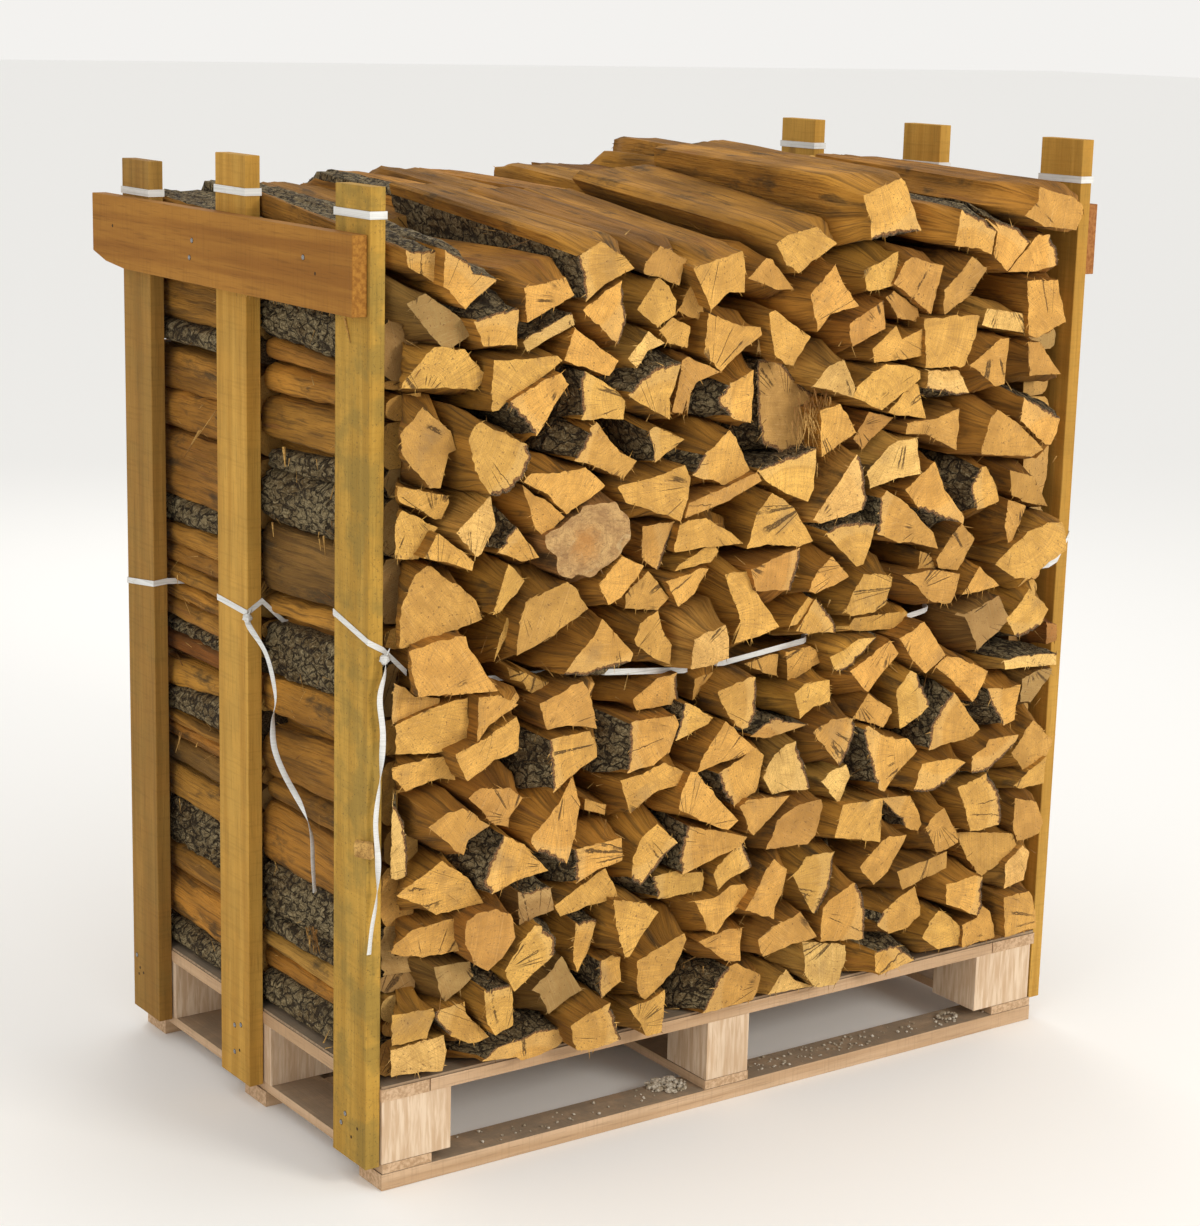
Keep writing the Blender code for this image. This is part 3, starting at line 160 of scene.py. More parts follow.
# %% Shader recipe helpers
class Recipe:
    """A material's node tree, built one named step at a time."""

    def __init__(self, name):
        self.mat = bpy.data.materials.new(name)
        self.mat.use_nodes = True
        self.tree = self.mat.node_tree
        self.shader = self.tree.nodes["Principled BSDF"]

    def join(self, source, target):
        if isinstance(source, (int, float)):
            target.default_value = source
        elif isinstance(source, tuple):
            target.default_value = source if len(source) == len(target.default_value) else (*source, 1.0)
        else:
            self.tree.links.new(source, target)

    def coords(self):
        return self.tree.nodes.new("ShaderNodeTexCoord").outputs["Object"]

    def uv(self, name):
        node = self.tree.nodes.new("ShaderNodeUVMap")
        node.uv_map = name
        return node.outputs["UV"]

    def attribute(self, name, output="Fac"):
        node = self.tree.nodes.new("ShaderNodeAttribute")
        node.attribute_name = name
        return node.outputs[output]

    def stretch(self, vector, scale, offset=(0.0, 0.0, 0.0)):
        node = self.tree.nodes.new("ShaderNodeMapping")
        self.join(vector, node.inputs["Vector"])
        node.inputs["Scale"].default_value = scale
        node.inputs["Location"].default_value = offset
        return node.outputs["Vector"]

    def noise(self, vector, scale, detail=3.0, rough=0.55, distortion=0.0, w=None):
        node = self.tree.nodes.new("ShaderNodeTexNoise")
        if w is not None:
            node.noise_dimensions = "4D"
            self.join(w, node.inputs["W"])
        self.join(vector, node.inputs["Vector"])
        node.inputs["Scale"].default_value = scale
        node.inputs["Detail"].default_value = detail
        node.inputs["Roughness"].default_value = rough
        node.inputs["Distortion"].default_value = distortion
        return node.outputs["Fac"]

    def cells(self, vector, scale, feature="DISTANCE_TO_EDGE"):
        node = self.tree.nodes.new("ShaderNodeTexVoronoi")
        node.feature = feature
        self.join(vector, node.inputs["Vector"])
        node.inputs["Scale"].default_value = scale
        return node.outputs["Distance"]

    def math(self, operation, a, b=0.0):
        node = self.tree.nodes.new("ShaderNodeMath")
        node.operation = operation
        for value, socket in zip((a, b), node.inputs):
            self.join(value, socket)
        return node.outputs[0]

    def plus(self, a, b):
        return self.math("ADD", a, b)

    def less(self, a, b):
        return self.math("SUBTRACT", a, b)

    def times(self, a, b):
        return self.math("MULTIPLY", a, b)

    def length(self, x, z):
        return self.math("SQRT", self.plus(self.times(x, x), self.times(z, z)))

    def swing(self, value, reach):
        """A noise moved to swing about zero."""
        return self.times(self.less(value, 0.5), reach)

    def band(self, value, low, high, to_low=0.0, to_high=1.0):
        node = self.tree.nodes.new("ShaderNodeMapRange")
        node.interpolation_type = "SMOOTHSTEP"
        for item, socket in zip((value, low, high, to_low, to_high), node.inputs[0:5]):
            self.join(item, socket)
        return node.outputs[0]

    def fade(self, value, low, high):
        """1 below low and 0 above high."""
        return self.band(value, low, high, 1.0, 0.0)

    def mix(self, factor, a, b, blend="MIX"):
        node = self.tree.nodes.new("ShaderNodeMix")
        node.data_type = "RGBA"
        node.blend_type = blend
        self.join(factor, node.inputs[0])
        self.join(a, node.inputs[6])
        self.join(b, node.inputs[7])
        return node.outputs[2]

    def over(self, color, mask, share, new):
        """The new colour laid over the old one where the mask says, by this share."""
        return self.mix(self.times(mask, share), color, new)

    def parts(self, vector):
        node = self.tree.nodes.new("ShaderNodeSeparateXYZ")
        self.join(vector, node.inputs[0])
        return node.outputs

    def vector(self, x, y, z):
        node = self.tree.nodes.new("ShaderNodeCombineXYZ")
        for item, socket in zip((x, y, z), node.inputs):
            self.join(item, socket)
        return node.outputs[0]

    def normal(self):
        return self.tree.nodes.new("ShaderNodeNewGeometry").outputs["Normal"]

    def bump(self, height, strength, distance):
        node = self.tree.nodes.new("ShaderNodeBump")
        self.join(height, node.inputs["Height"])
        node.inputs["Strength"].default_value = strength
        node.inputs["Distance"].default_value = distance
        self.tree.links.new(node.outputs["Normal"], self.shader.inputs["Normal"])

    def finish(self, color, roughness):
        self.join(color, self.shader.inputs["Base Color"])
        self.join(roughness, self.shader.inputs["Roughness"])
        self.shader.inputs["Specular IOR Level"].default_value = 0.25
        return self.mat


print("recipe steps", sum(not step.startswith("_") for step in vars(Recipe)))
# %% [markdown]
# ## Wood that was split and sawn
# Three looks share each log: the sawn end, with growth rings round the heart of the tree,
# rays and drying cracks; the split side, torn along the fibres; and the bark.
# Each log carries its own tint, its own number and the distance from the heart to its bark.
# A picture of wood would repeat from log to log. Rings and fibres that the shader works out
# from those numbers differ on every log and stay sharp from near.

# %% Sawn end of a log
def end_grain_material():
    r = Recipe("log_end_grain")
    uv = r.uv("grain")
    number = r.attribute("log_number")
    rim = r.attribute("bark_rim")
    outer = r.attribute("heart_to_bark")
    tint = r.attribute("log_tint", "Color")
    x, z, _ = r.parts(uv)
    wobble = r.noise(uv, 24.0, 2.0, w=number)
    reach = r.length(x, z)
    radius = r.plus(reach, r.swing(wobble, 0.010))
    angle = r.math("ARCTAN2", z, x)
    ring_noise = r.noise(r.vector(r.times(radius, 420.0), 0.0, 0.0), 1.0, 2.0, w=number)
    rings = r.band(ring_noise, 0.42, 0.62)
    ray_noise = r.noise(r.vector(r.times(angle, 46.0), r.times(radius, 26.0), 0.0),
                        1.0, 4.0, 0.65, w=number)
    rays = r.band(ray_noise, 0.50, 0.64)
    patches = r.noise(uv, 30.0, 4.0, 0.6, w=number)
    fuzz = r.noise(uv, 640.0, 3.0, 0.6)
    across = r.plus(r.times(x, r.math("COSINE", number)),
                    r.times(z, r.math("SINE", number)))
    saw = r.noise(r.vector(r.times(across, 620.0), r.times(x, 30.0), 0.0), 1.0, 3.0, 0.6)
    specks = r.noise(uv, 240.0, 2.0, w=number)
    color = r.mix(r.band(patches, 0.30, 0.70), (0.82, 0.78, 0.70), (1.20, 1.18, 1.12))
    color = r.mix(1.0, tint, color, "MULTIPLY")
    color = r.over(color, rings, 0.26, (0.36, 0.180, 0.050))
    color = r.over(color, rays, 0.48, (0.40, 0.215, 0.070))
    color = r.over(color, r.band(saw, 0.50, 0.66), 0.36, (0.36, 0.190, 0.055))
    color = r.over(color, r.fade(saw, 0.30, 0.44), 0.16, (0.90, 0.66, 0.34))
    sapwood = r.fade(r.less(outer, radius), 0.012, 0.020)
    color = r.over(color, sapwood, 0.22, (0.82, 0.56, 0.22))
    stain = r.band(r.noise(uv, 13.0, 4.0, w=r.plus(number, 9.3)), 0.58, 0.74)
    color = r.over(color, stain, 0.50, (0.27, 0.175, 0.080))
    color = r.over(color, r.band(specks, 0.61, 0.69), 0.72, (0.16, 0.080, 0.030))
    crack_line = r.noise(r.vector(r.times(angle, 3.2), 0.3, 0.0), 1.0, 1.0, w=number)
    crack_wobble = r.swing(r.noise(uv, 75.0, 4.0, 0.7), 0.09)
    near_line = r.math("ABSOLUTE", r.less(r.plus(crack_line, crack_wobble), 0.5))
    width = r.times(near_line, r.plus(radius, 0.004))
    where = r.band(r.noise(uv, 15.0, 1.0, w=r.plus(number, 4.1)), 0.54, 0.60)
    where = r.times(where, r.band(radius, 0.012, 0.022))
    shaded_crack = r.times(r.fade(width, 0.0002, 0.0009), where)
    # Painted shade: the drying cracks are laid near black, for the shade inside the open cracks.
    color = r.over(color, shaded_crack, 0.85, (0.035, 0.017, 0.007))
    color = r.over(color, r.band(fuzz, 0.46, 0.66), 0.42, (0.33, 0.170, 0.050))
    ragged = r.plus(rim, r.swing(r.noise(uv, 150.0, 3.0), 0.8))
    inner_bark = r.band(ragged, 0.22, 0.40)
    outer_bark = r.band(ragged, 0.62, 0.85)
    flecks = r.band(r.noise(uv, 420.0, 2.0), 0.42, 0.60)
    color = r.mix(inner_bark, color, r.mix(flecks, (0.120, 0.052, 0.018), (0.270, 0.140, 0.050)))
    color = r.mix(outer_bark, color, r.mix(flecks, (0.040, 0.023, 0.011), (0.130, 0.085, 0.040)))
    height = r.plus(r.times(rings, 0.3), r.times(fuzz, 0.9))
    height = r.less(height, r.times(rays, 0.4))
    height = r.less(height, r.times(shaded_crack, 4.0))
    height = r.less(height, r.times(inner_bark, fuzz))
    r.bump(height, 0.60, 0.0014)
    return r.finish(color, 0.86)


end_mat = end_grain_material()
print("sawn end", end_mat.name)

# %% Sawn end of the one knotty log: swirling, greyish pink, rusty in the middle
def knot_end_material():
    r = Recipe("knot_end")
    uv = r.uv("grain")
    x, z, _ = r.parts(uv)
    swirl = r.noise(uv, 26.0, 4.0, 0.6, 1.6)
    reach = r.length(x, z)
    radius = r.plus(reach, r.swing(swirl, 0.050))
    rings = r.noise(r.vector(r.times(radius, 260.0), 0.0, 0.0), 1.0, 3.0, 0.6)
    fuzz = r.noise(uv, 520.0, 4.0, 0.7)
    patches = r.noise(uv, 42.0, 4.0, 0.65)
    torn = r.noise(r.stretch(uv, (90.0, 210.0, 1.0)), 1.0, 4.0, 0.7, 0.6)
    color = r.mix(r.band(patches, 0.36, 0.62), (0.44, 0.250, 0.100), (0.66, 0.410, 0.165))
    color = r.over(color, r.band(rings, 0.46, 0.62), 0.45, (0.30, 0.150, 0.055))
    middle_spot = r.fade(r.plus(reach, r.swing(swirl, 0.045)), 0.006, 0.034)
    color = r.over(color, middle_spot, 0.60, (0.56, 0.240, 0.050))
    color = r.over(color, r.band(swirl, 0.58, 0.66), 0.55, (0.66, 0.470, 0.230))
    color = r.over(color, r.band(torn, 0.56, 0.66), 0.55, (0.20, 0.110, 0.050))
    color = r.over(color, r.band(fuzz, 0.50, 0.64), 0.40, (0.26, 0.150, 0.075))
    height = r.plus(r.times(torn, 1.6), r.times(fuzz, 0.8))
    height = r.plus(height, r.times(rings, 0.6))
    r.bump(height, 0.9, 0.0030)
    return r.finish(color, 0.9)


knot_mat = knot_end_material()
print("knotty end", knot_mat.name)

# %% Split side of a log
def split_side_material():
    r = Recipe("log_split_side")
    uv = r.uv("grain")
    number = r.attribute("log_number")
    tint = r.attribute("log_tint", "Color")
    fibres = r.noise(r.stretch(uv, (520.0, 14.0, 1.0)), 1.0, 4.0, 0.65, w=number)
    strands = r.noise(r.stretch(uv, (130.0, 4.5, 1.0)), 1.0, 5.0, 0.65, 0.3, w=number)
    broad = r.noise(r.stretch(uv, (24.0, 6.0, 1.0)), 1.0, 4.0, w=r.plus(number, 2.7))
    stains = r.noise(r.stretch(uv, (34.0, 11.0, 1.0)), 1.0, 5.0, 0.65, w=r.plus(number, 7.9))
    red = r.noise(r.stretch(uv, (80.0, 7.0, 1.0)), 1.0, 4.0, w=r.plus(number, 5.2))
    base = r.mix(r.band(broad, 0.30, 0.70), (0.36, 0.280, 0.15), (0.82, 0.670, 0.40))
    color = r.mix(1.0, tint, base, "MULTIPLY")
    color = r.over(color, r.band(strands, 0.50, 0.64), 0.60, (0.085, 0.042, 0.010))
    color = r.over(color, r.fade(strands, 0.30, 0.42), 0.45, (0.38, 0.200, 0.048))
    color = r.over(color, r.band(fibres, 0.50, 0.66), 0.50, (0.055, 0.028, 0.008))
    color = r.over(color, r.fade(fibres, 0.28, 0.40), 0.30, (0.48, 0.275, 0.075))
    color = r.over(color, r.band(stains, 0.54, 0.68), 0.75, (0.048, 0.032, 0.014))
    color = r.over(color, r.band(red, 0.60, 0.72), 0.45, (0.24, 0.090, 0.025))
    height = r.plus(r.times(strands, 2.4), r.times(fibres, 1.1))
    r.bump(height, 0.95, 0.0036)
    return r.finish(color, 0.90)


side_mat = split_side_material()
print("split side", side_mat.name)

# %% Bark
def bark_material():
    r = Recipe("log_bark")
    uv = r.uv("grain")
    number = r.attribute("log_number")
    along, y, _ = r.parts(uv)
    shift = r.swing(r.noise(uv, 90.0, 3.0, w=number), 0.020)
    drift = r.swing(r.noise(uv, 70.0, 3.0), 0.026)
    moved = r.vector(r.plus(along, shift), r.plus(y, drift), number)
    plates = r.cells(r.stretch(moved, (92.0, 48.0, 1.0)), 1.0)
    flakes = r.cells(r.stretch(moved, (230.0, 150.0, 1.0)), 1.0)
    tight = r.noise(r.stretch(uv, (260.0, 150.0, 1.0)), 1.0, 5.0, 0.70, w=number)
    grain = r.noise(r.stretch(uv, (760.0, 520.0, 1.0)), 1.0, 3.0, 0.7)
    broad = r.noise(r.stretch(uv, (24.0, 12.0, 1.0)), 1.0, 3.0, w=number)
    shaded_fissure = r.fade(plates, 0.01, 0.11)
    shaded_flake_gap = r.band(flakes, 0.01, 0.10, 0.7, 0.0)
    color = r.mix(r.band(broad, 0.38, 0.62), (0.165, 0.108, 0.044), (0.290, 0.222, 0.112))
    # Painted highlight: where the bark stands high (tight and grain high) it is laid lighter, over its own
    # weathered grey. Painted shade: where it lies low it is laid darker.
    color = r.over(color, r.band(tight, 0.50, 0.62), 0.75, (0.430, 0.345, 0.190))
    color = r.over(color, r.fade(tight, 0.34, 0.46), 0.80, (0.075, 0.046, 0.019))
    color = r.over(color, r.band(grain, 0.56, 0.72), 0.50, (0.420, 0.350, 0.220))
    # Painted shade: the gaps between flakes and the fissures are laid near black, over the bark's own
    # darker fissures.
    color = r.mix(shaded_flake_gap, color, (0.060, 0.036, 0.014))
    color = r.over(color, shaded_fissure, 0.92, (0.030, 0.018, 0.008))
    height = r.plus(r.times(tight, 1.0), r.times(grain, 0.3))
    height = r.less(height, r.times(shaded_fissure, 1.3))
    height = r.less(height, r.times(shaded_flake_gap, 0.4))
    r.bump(height, 1.0, 0.0055)
    return r.finish(color, 0.94)


bark_mat = bark_material()
print("bark", bark_mat.name)

# %% [markdown]
# ## The logs
# Each line of the table is one log end of the front row: how far it stands proud of the
# pallet (mm), the sides that carry bark (l, r, t, b or all), its tint, and the corners
# of its outline (x, z in mm) as they show on the front plane from the photographer's eye.
# Logs could be scattered at random, but then no log end would match the photograph.

# %% Front row, read end by end
FRONT_LOGS = (
    # Bottom course and the next two, left half
    (30, "", "pale", -568, 200, -502, 206, -499, 182, -504, 152, -559, 161, -568, 160),
    (40, "", "honey", -571, 249, -521, 247, -519, 238, -527, 204, -571, 204),
    (20, "l", "honey", -518, 241, -471, 247, -468, 228, -429, 186, -450, 181, -463, 182, -492, 200,
     -517, 228),
    (10, "", "grey", -521, 306, -465, 304, -458, 281, -474, 265, -500, 250, -514, 271),
    (40, "t", "honey", -441, 256, -395, 259, -391, 222, -391, 194, -420, 184, -435, 207),
    (45, "", "tan", -470, 362, -456, 369, -423, 371, -398, 359, -388, 322, -408, 295, -432, 280, -456, 295,
     -471, 328, -474, 350),
    (35, "", "honey", -574, 338, -544, 363, -505, 369, -477, 370, -480, 342, -479, 321, -533, 322,
     -553, 328),
    (50, "", "honey", -564, 416, -511, 454, -498, 445, -468, 422, -441, 380, -492, 378, -517, 375,
     -535, 395),
    (30, "r", "pale", -594, 548, -578, 560, -556, 525, -550, 480, -550, 440, -562, 436, -587, 447),
    (35, "l", "honey", -414, 474, -377, 453, -359, 432, -335, 408, -389, 403, -432, 390, -449, 410,
     -438, 438),
    (40, "b", "honey", -298, 536, -283, 495, -294, 453, -308, 412, -329, 424, -359, 438, -370, 455,
     -367, 466,
     -322, 502),
    (40, "l", "honey", -297, 433, -220, 439, -214, 404, -256, 394, -289, 379),
    (30, "", "honey", -326, 356, -292, 375, -241, 397, -218, 350, -256, 347, -318, 339),
    (25, "t", "grey", -389, 388, -335, 389, -327, 351, -383, 338),
    (20, "t", "honey", -292, 327, -271, 328, -253, 324, -265, 283, -286, 251, -295, 274),
    (45, "r", "honey", -377, 319, -359, 336, -347, 332, -321, 310, -323, 285, -362, 262, -391, 242,
     -408, 277),
    (15, "", "grey", -364, 241, -338, 259, -314, 282, -302, 262, -274, 222, -302, 212, -332, 197, -350,
     233),
    (25, "l", "honey", -250, 262, -226, 265, -211, 260, -209, 222, -244, 204, -251, 219),
    (20, "t", "honey", -447, 156, -429, 171, -392, 175, -347, 181, -301, 171, -289, 159, -314, 144,
     -377, 136,
     -386, 147),
    (50, "r", "honey", -297, 174, -274, 185, -229, 195, -217, 168, -205, 134, -262, 128, -283, 132),
    # Bottom course and the next two, middle
    (50, "", "honey", -226, 348, -168, 331, -143, 315, -178, 283, -200, 257, -208, 258, -222, 305),
    (35, "b", "honey", -194, 404, -181, 428, -152, 448, -119, 415, -159, 380, -184, 357, -199, 371),
    (30, "l", "honey", -159, 368, -117, 371, -72, 362, -67, 353, -75, 335, -114, 333, -150, 333),
    (45, "l", "honey", -108, 419, -99, 435, -32, 416, 4, 404, -8, 391, -60, 376, -105, 363, -114, 374),
    (40, "r", "honey", -56, 356, -47, 368, 4, 398, 15, 377, 22, 353, -32, 338, -46, 330),
    (30, "", "honey", -87, 321, -50, 320, -23, 332, 6, 332, 20, 319, 3, 297, -26, 279, -40, 260, -56, 271),
    (45, "", "honey", 25, 315, 44, 344, 62, 360, 89, 338, 80, 301, 65, 283, 63, 265, 4, 291),
    (40, "r", "honey", 95, 328, 122, 353, 178, 351, 171, 298, 153, 271, 141, 259, 125, 274),
    (50, "r", "honey", 157, 266, 174, 280, 216, 298, 237, 274, 241, 250, 242, 201, 157, 212),
    (45, "", "tan", 36, 238, 62, 254, 113, 268, 128, 250, 147, 224, 101, 219, 47, 210),
    (35, "", "honey", -187, 250, -99, 275, -94, 265, -114, 222, -135, 204, -168, 186, -181, 198),
    (40, "", "honey", -197, 181, -159, 186, -132, 197, -130, 162, -134, 130, -160, 128, -181, 159),
    (30, "", "honey", -75, 257, -23, 266, 7, 263, 4, 212, -26, 219, -50, 238),
    (20, "l", "honey", -41, 192, -20, 210, -2, 210, 42, 185, 44, 168, 32, 146, 1, 144, -65, 144),
    (20, "", "pale", 59, 148, 83, 177, 92, 183, 110, 162, 144, 147),
    (40, "", "pale", 118, 222, 159, 213, 204, 201, 207, 188, 198, 144, 189, 138, 144, 142, 128, 171),
    (45, "", "tan", -11, 450, 4, 459, 89, 450, 47, 419, 19, 402, 10, 410),
    (45, "", "tan", 44, 375, 54, 395, 59, 419, 101, 438, 144, 439, 148, 425, 138, 383, 125, 369),
    (35, "", "pale", 142, 464, 162, 479, 189, 484, 198, 465, 178, 424, 159, 444),
    (50, "", "honey", 183, 424, 263, 422, 266, 350, 241, 357, 174, 372, 177, 392),
    # Bottom course and the next two, right half
    (45, "b", "honey", 321, 422, 334, 465, 392, 465, 413, 460, 433, 451, 407, 430, 380, 418, 352, 415),
    (40, "b", "honey", 440, 460, 468, 472, 475, 484, 541, 481, 535, 470, 498, 440, 470, 430, 440, 431),
    (30, "l", "honey", 265, 419, 322, 416, 334, 395, 343, 368, 337, 356, 313, 365, 295, 386),
    (45, "r", "honey", 415, 415, 446, 419, 477, 430, 508, 392, 513, 359, 510, 341, 443, 338, 434, 377),
    (45, "", "honey", 355, 359, 365, 374, 387, 388, 419, 341, 424, 325, 404, 316, 383, 312),
    (45, "", "honey", 227, 316, 265, 353, 280, 359, 313, 356, 310, 347, 284, 301, 258, 282),
    (40, "", "tan", 295, 301, 404, 313, 408, 285, 310, 268),
    (25, "", "tan", 422, 339, 462, 335, 539, 322, 548, 292, 474, 262, 446, 292),
    (30, "", "tan", 536, 380, 589, 365, 608, 325, 598, 310, 571, 306, 546, 307, 534, 328),
    (45, "", "honey", 531, 400, 560, 417, 602, 437, 605, 391, 545, 391),
    (35, "", "tan", 527, 452, 540, 468, 569, 501, 585, 487, 610, 463, 602, 440, 552, 420),
    (40, "", "pale", 522, 274, 562, 298, 580, 283, 572, 238, 525, 232),
    (45, "r", "honey", 405, 260, 462, 266, 480, 259, 483, 216, 477, 195, 449, 207, 404, 228),
    (35, "l", "honey", 260, 222, 271, 238, 301, 254, 343, 266, 358, 232, 355, 219, 328, 204, 286, 203),
    (35, "t", "honey", 262, 177, 283, 182, 310, 180, 337, 159, 352, 147, 271, 138, 263, 147),
    (35, "", "honey", 358, 182, 374, 207, 389, 222, 404, 216, 440, 187, 443, 165, 437, 155, 392, 156),
    (40, "", "honey", 440, 188, 471, 195, 483, 212, 501, 201, 510, 177, 513, 154, 443, 150),
    (50, "", "honey", 524, 219, 583, 219, 592, 207, 604, 177, 606, 152, 531, 151),
    # Up to the twine, left half
    (45, "", "honey", -550, 744, -492, 758, -476, 756, -471, 741, -441, 694, -427, 675, -541, 681,
     -548, 721),
    (30, "l", "honey", -579, 700, -571, 708, -556, 700, -544, 685, -517, 677, -517, 668, -535, 664,
     -568, 648,
     -577, 645),
    (50, "", "honey", -568, 645, -547, 658, -514, 668, -474, 673, -468, 603, -505, 600, -567, 608),
    (45, "", "honey", -455, 670, -426, 670, -392, 652, -441, 627, -459, 606),
    (50, "", "honey", -494, 597, -456, 608, -392, 636, -388, 618, -389, 586, -432, 576, -474, 556),
    (30, "", "honey", -576, 589, -538, 598, -502, 598, -492, 562, -514, 567, -553, 555),
    (30, "", "tan", -471, 533, -453, 545, -402, 539, -383, 520, -402, 497, -405, 483, -426, 488),
    (45, "", "honey", -529, 502, -505, 517, -477, 521, -433, 489, -468, 474, -477, 455, -492, 464),
    (40, "l", "honey", -345, 597, -305, 598, -271, 598, -257, 572, -257, 558, -292, 545, -336, 521,
     -341, 558),
    (45, "", "tan", -358, 648, -329, 658, -308, 670, -289, 673, -271, 639, -262, 600, -289, 606, -314, 611,
     -344, 608),
    (5, "", "honey", -392, 698, -383, 695, -353, 679, -317, 667, -358, 655, -383, 670),
    (5, "", "pale", -382, 662, -358, 655, -352, 630, -368, 630),
    (40, "b", "honey", -321, 683, -299, 706, -271, 733, -259, 755, -226, 724, -205, 700, -208, 688,
     -286, 676),
    (45, "", "tan", -389, 793, -317, 814, -302, 802, -280, 770, -335, 739, -397, 718, -398, 742),
    (20, "", "honey", -426, 745, -414, 773, -402, 782, -395, 776, -420, 736, -432, 715),
    (10, "", "tan", -283, 505, -241, 488, -244, 473, -283, 488),
    # Up to the twine, middle
    (35, "", "honey", -205, 720, -196, 742, -164, 756, -156, 730, -138, 703, -141, 676, -172, 688,
     -202, 712),
    (55, "", "pale", -103, 709, -47, 723, -38, 703, -35, 671, -75, 663, -105, 663),
    (40, "", "honey", -47, 794, -8, 797, 4, 767, 22, 745, 48, 709, 4, 697, -35, 690, -32, 703, -18,
     720, -38, 770),
    (15, "r", "honey", -208, 635, -162, 661, -126, 662, -120, 615, -199, 618),
    (5, "", "honey", -99, 651, -62, 655, -78, 638, -103, 618),
    (45, "r", "honey", -59, 627, 4, 639, 15, 639, 19, 588, 4, 564, -11, 565, -35, 583),
    (0, "", "tan", -12, 661, 35, 669, 54, 669, 50, 636, 22, 644),
    (10, "", "honey", 66, 669, 109, 675, 122, 667, 135, 648, 101, 633, 74, 620),
    (40, "", "honey", 82, 606, 104, 620, 154, 618, 157, 583, 122, 579, 95, 565),
    (40, "l", "honey", -208, 600, -196, 603, -129, 602, -120, 588, -138, 548, -165, 533, -211, 529),
    (35, "l", "honey", -117, 618, -105, 617, -59, 588, -68, 580, -102, 570, -132, 564),
    (40, "", "honey", -85, 509, -75, 536, -41, 582, 16, 533, -14, 524, -50, 518),
    (35, "", "honey", -222, 520, -190, 524, -147, 536, -105, 515, -114, 500, -165, 491, -202, 468),
    (50, "", "honey", -117, 485, -99, 515, -87, 512, -38, 458, -8, 428, -26, 416, -81, 438, -120, 463),
    (35, "l", "honey", -56, 507, -23, 518, 22, 533, 38, 520, 30, 488, 22, 466, -20, 452, -45, 475),
    (35, "r", "pale", 32, 485, 53, 518, 74, 530, 92, 533, 110, 494, 119, 458, 50, 458),
    (25, "t", "tan", 3, 552, 47, 579, 71, 567, 116, 555, 41, 544),
    (45, "r", "honey", 121, 542, 159, 558, 201, 553, 204, 536, 198, 509, 174, 483, 138, 524),
    (40, "", "honey", 200, 553, 225, 588, 271, 558, 274, 552, 258, 530),
    (45, "", "honey", 186, 626, 264, 665, 283, 641, 258, 618, 225, 588, 204, 606),
    (40, "b", "honey", 147, 652, 180, 662, 204, 673, 238, 671, 216, 652, 189, 632, 160, 626),
    (15, "", "honey", 177, 690, 189, 706, 246, 706, 280, 705, 292, 678, 210, 682),
    (45, "", "honey", 174, 715, 186, 745, 204, 771, 240, 768, 260, 761, 252, 718, 228, 708, 189, 707),
    (35, "r", "honey", 83, 697, 116, 742, 144, 718, 159, 694, 156, 688, 107, 690),
    (30, "", "honey", 71, 704, 77, 721, 101, 747, 113, 742, 86, 706),
    (45, "", "honey", 101, 755, 112, 780, 144, 803, 183, 767, 156, 758, 113, 748),
    # Up to the twine, right half
    (50, "", "honey", 281, 664, 330, 685, 343, 670, 377, 627, 337, 602, 310, 626),
    (40, "", "grey", 413, 685, 477, 709, 501, 670, 480, 652, 442, 627),
    (45, "", "honey", 402, 716, 416, 733, 433, 759, 477, 724, 440, 718),
    (40, "", "tan", 284, 759, 345, 762, 392, 752, 389, 727, 380, 706, 362, 708, 331, 718, 313, 739),
    (35, "", "tan", 345, 777, 368, 808, 392, 829, 422, 802, 404, 770, 392, 755, 350, 763),
    (25, "", "tan", 311, 764, 314, 793, 330, 788, 343, 778, 345, 764),
    (50, "", "honey", 471, 755, 495, 776, 531, 802, 574, 814, 600, 812, 610, 790, 612, 766, 583, 752,
     542, 726,
     513, 730),
    (45, "b", "honey", 498, 670, 522, 691, 540, 715, 562, 697, 584, 676, 571, 652, 546, 639, 519, 636),
    (45, "", "honey", 355, 612, 375, 627, 398, 624, 468, 591, 458, 570, 440, 545, 380, 594),
    (40, "l", "honey", 463, 565, 501, 561, 536, 562, 531, 533, 527, 506, 505, 497, 477, 533),
    (35, "", "grey", 539, 570, 568, 580, 602, 580, 595, 564, 558, 529, 537, 533),
    (45, "t", "pale", 499, 603, 528, 609, 574, 608, 607, 603, 607, 585, 501, 589),
    (45, "r", "honey", 280, 585, 307, 612, 319, 609, 340, 579, 352, 552, 325, 536, 289, 523),
    (50, "l", "honey", 351, 482, 352, 518, 377, 548, 398, 570, 422, 542, 452, 502, 440, 492, 398, 488),
    (45, "l", "honey", 217, 536, 228, 539, 265, 515, 310, 506, 334, 483, 307, 467, 265, 431, 252, 437,
     237, 462),
    (25, "", "rust", 583, 655, 606, 650, 607, 622, 585, 618),
    # Above the twine, left half
    (50, "", "tan", -576, 1020, -538, 1062, -502, 1029, -492, 1003, -505, 999, -520, 955, -532, 956),
    (30, "", "honey", -573, 965, -559, 962, -505, 944, -502, 935, -514, 914, -523, 914, -565, 944),
    (40, "", "honey", -585, 870, -579, 902, -559, 931, -521, 905, -533, 890, -542, 864),
    (40, "", "honey", -539, 867, -521, 897, -498, 881, -462, 852, -467, 841, -498, 853),
    (45, "", "pale", -494, 894, -441, 940, -433, 900, -456, 862, -462, 858),
    (50, "rb", "honey", -479, 1017, -468, 1032, -456, 1037, -383, 1003, -372, 990, -390, 958, -415, 938,
     -444, 938, -471, 975),
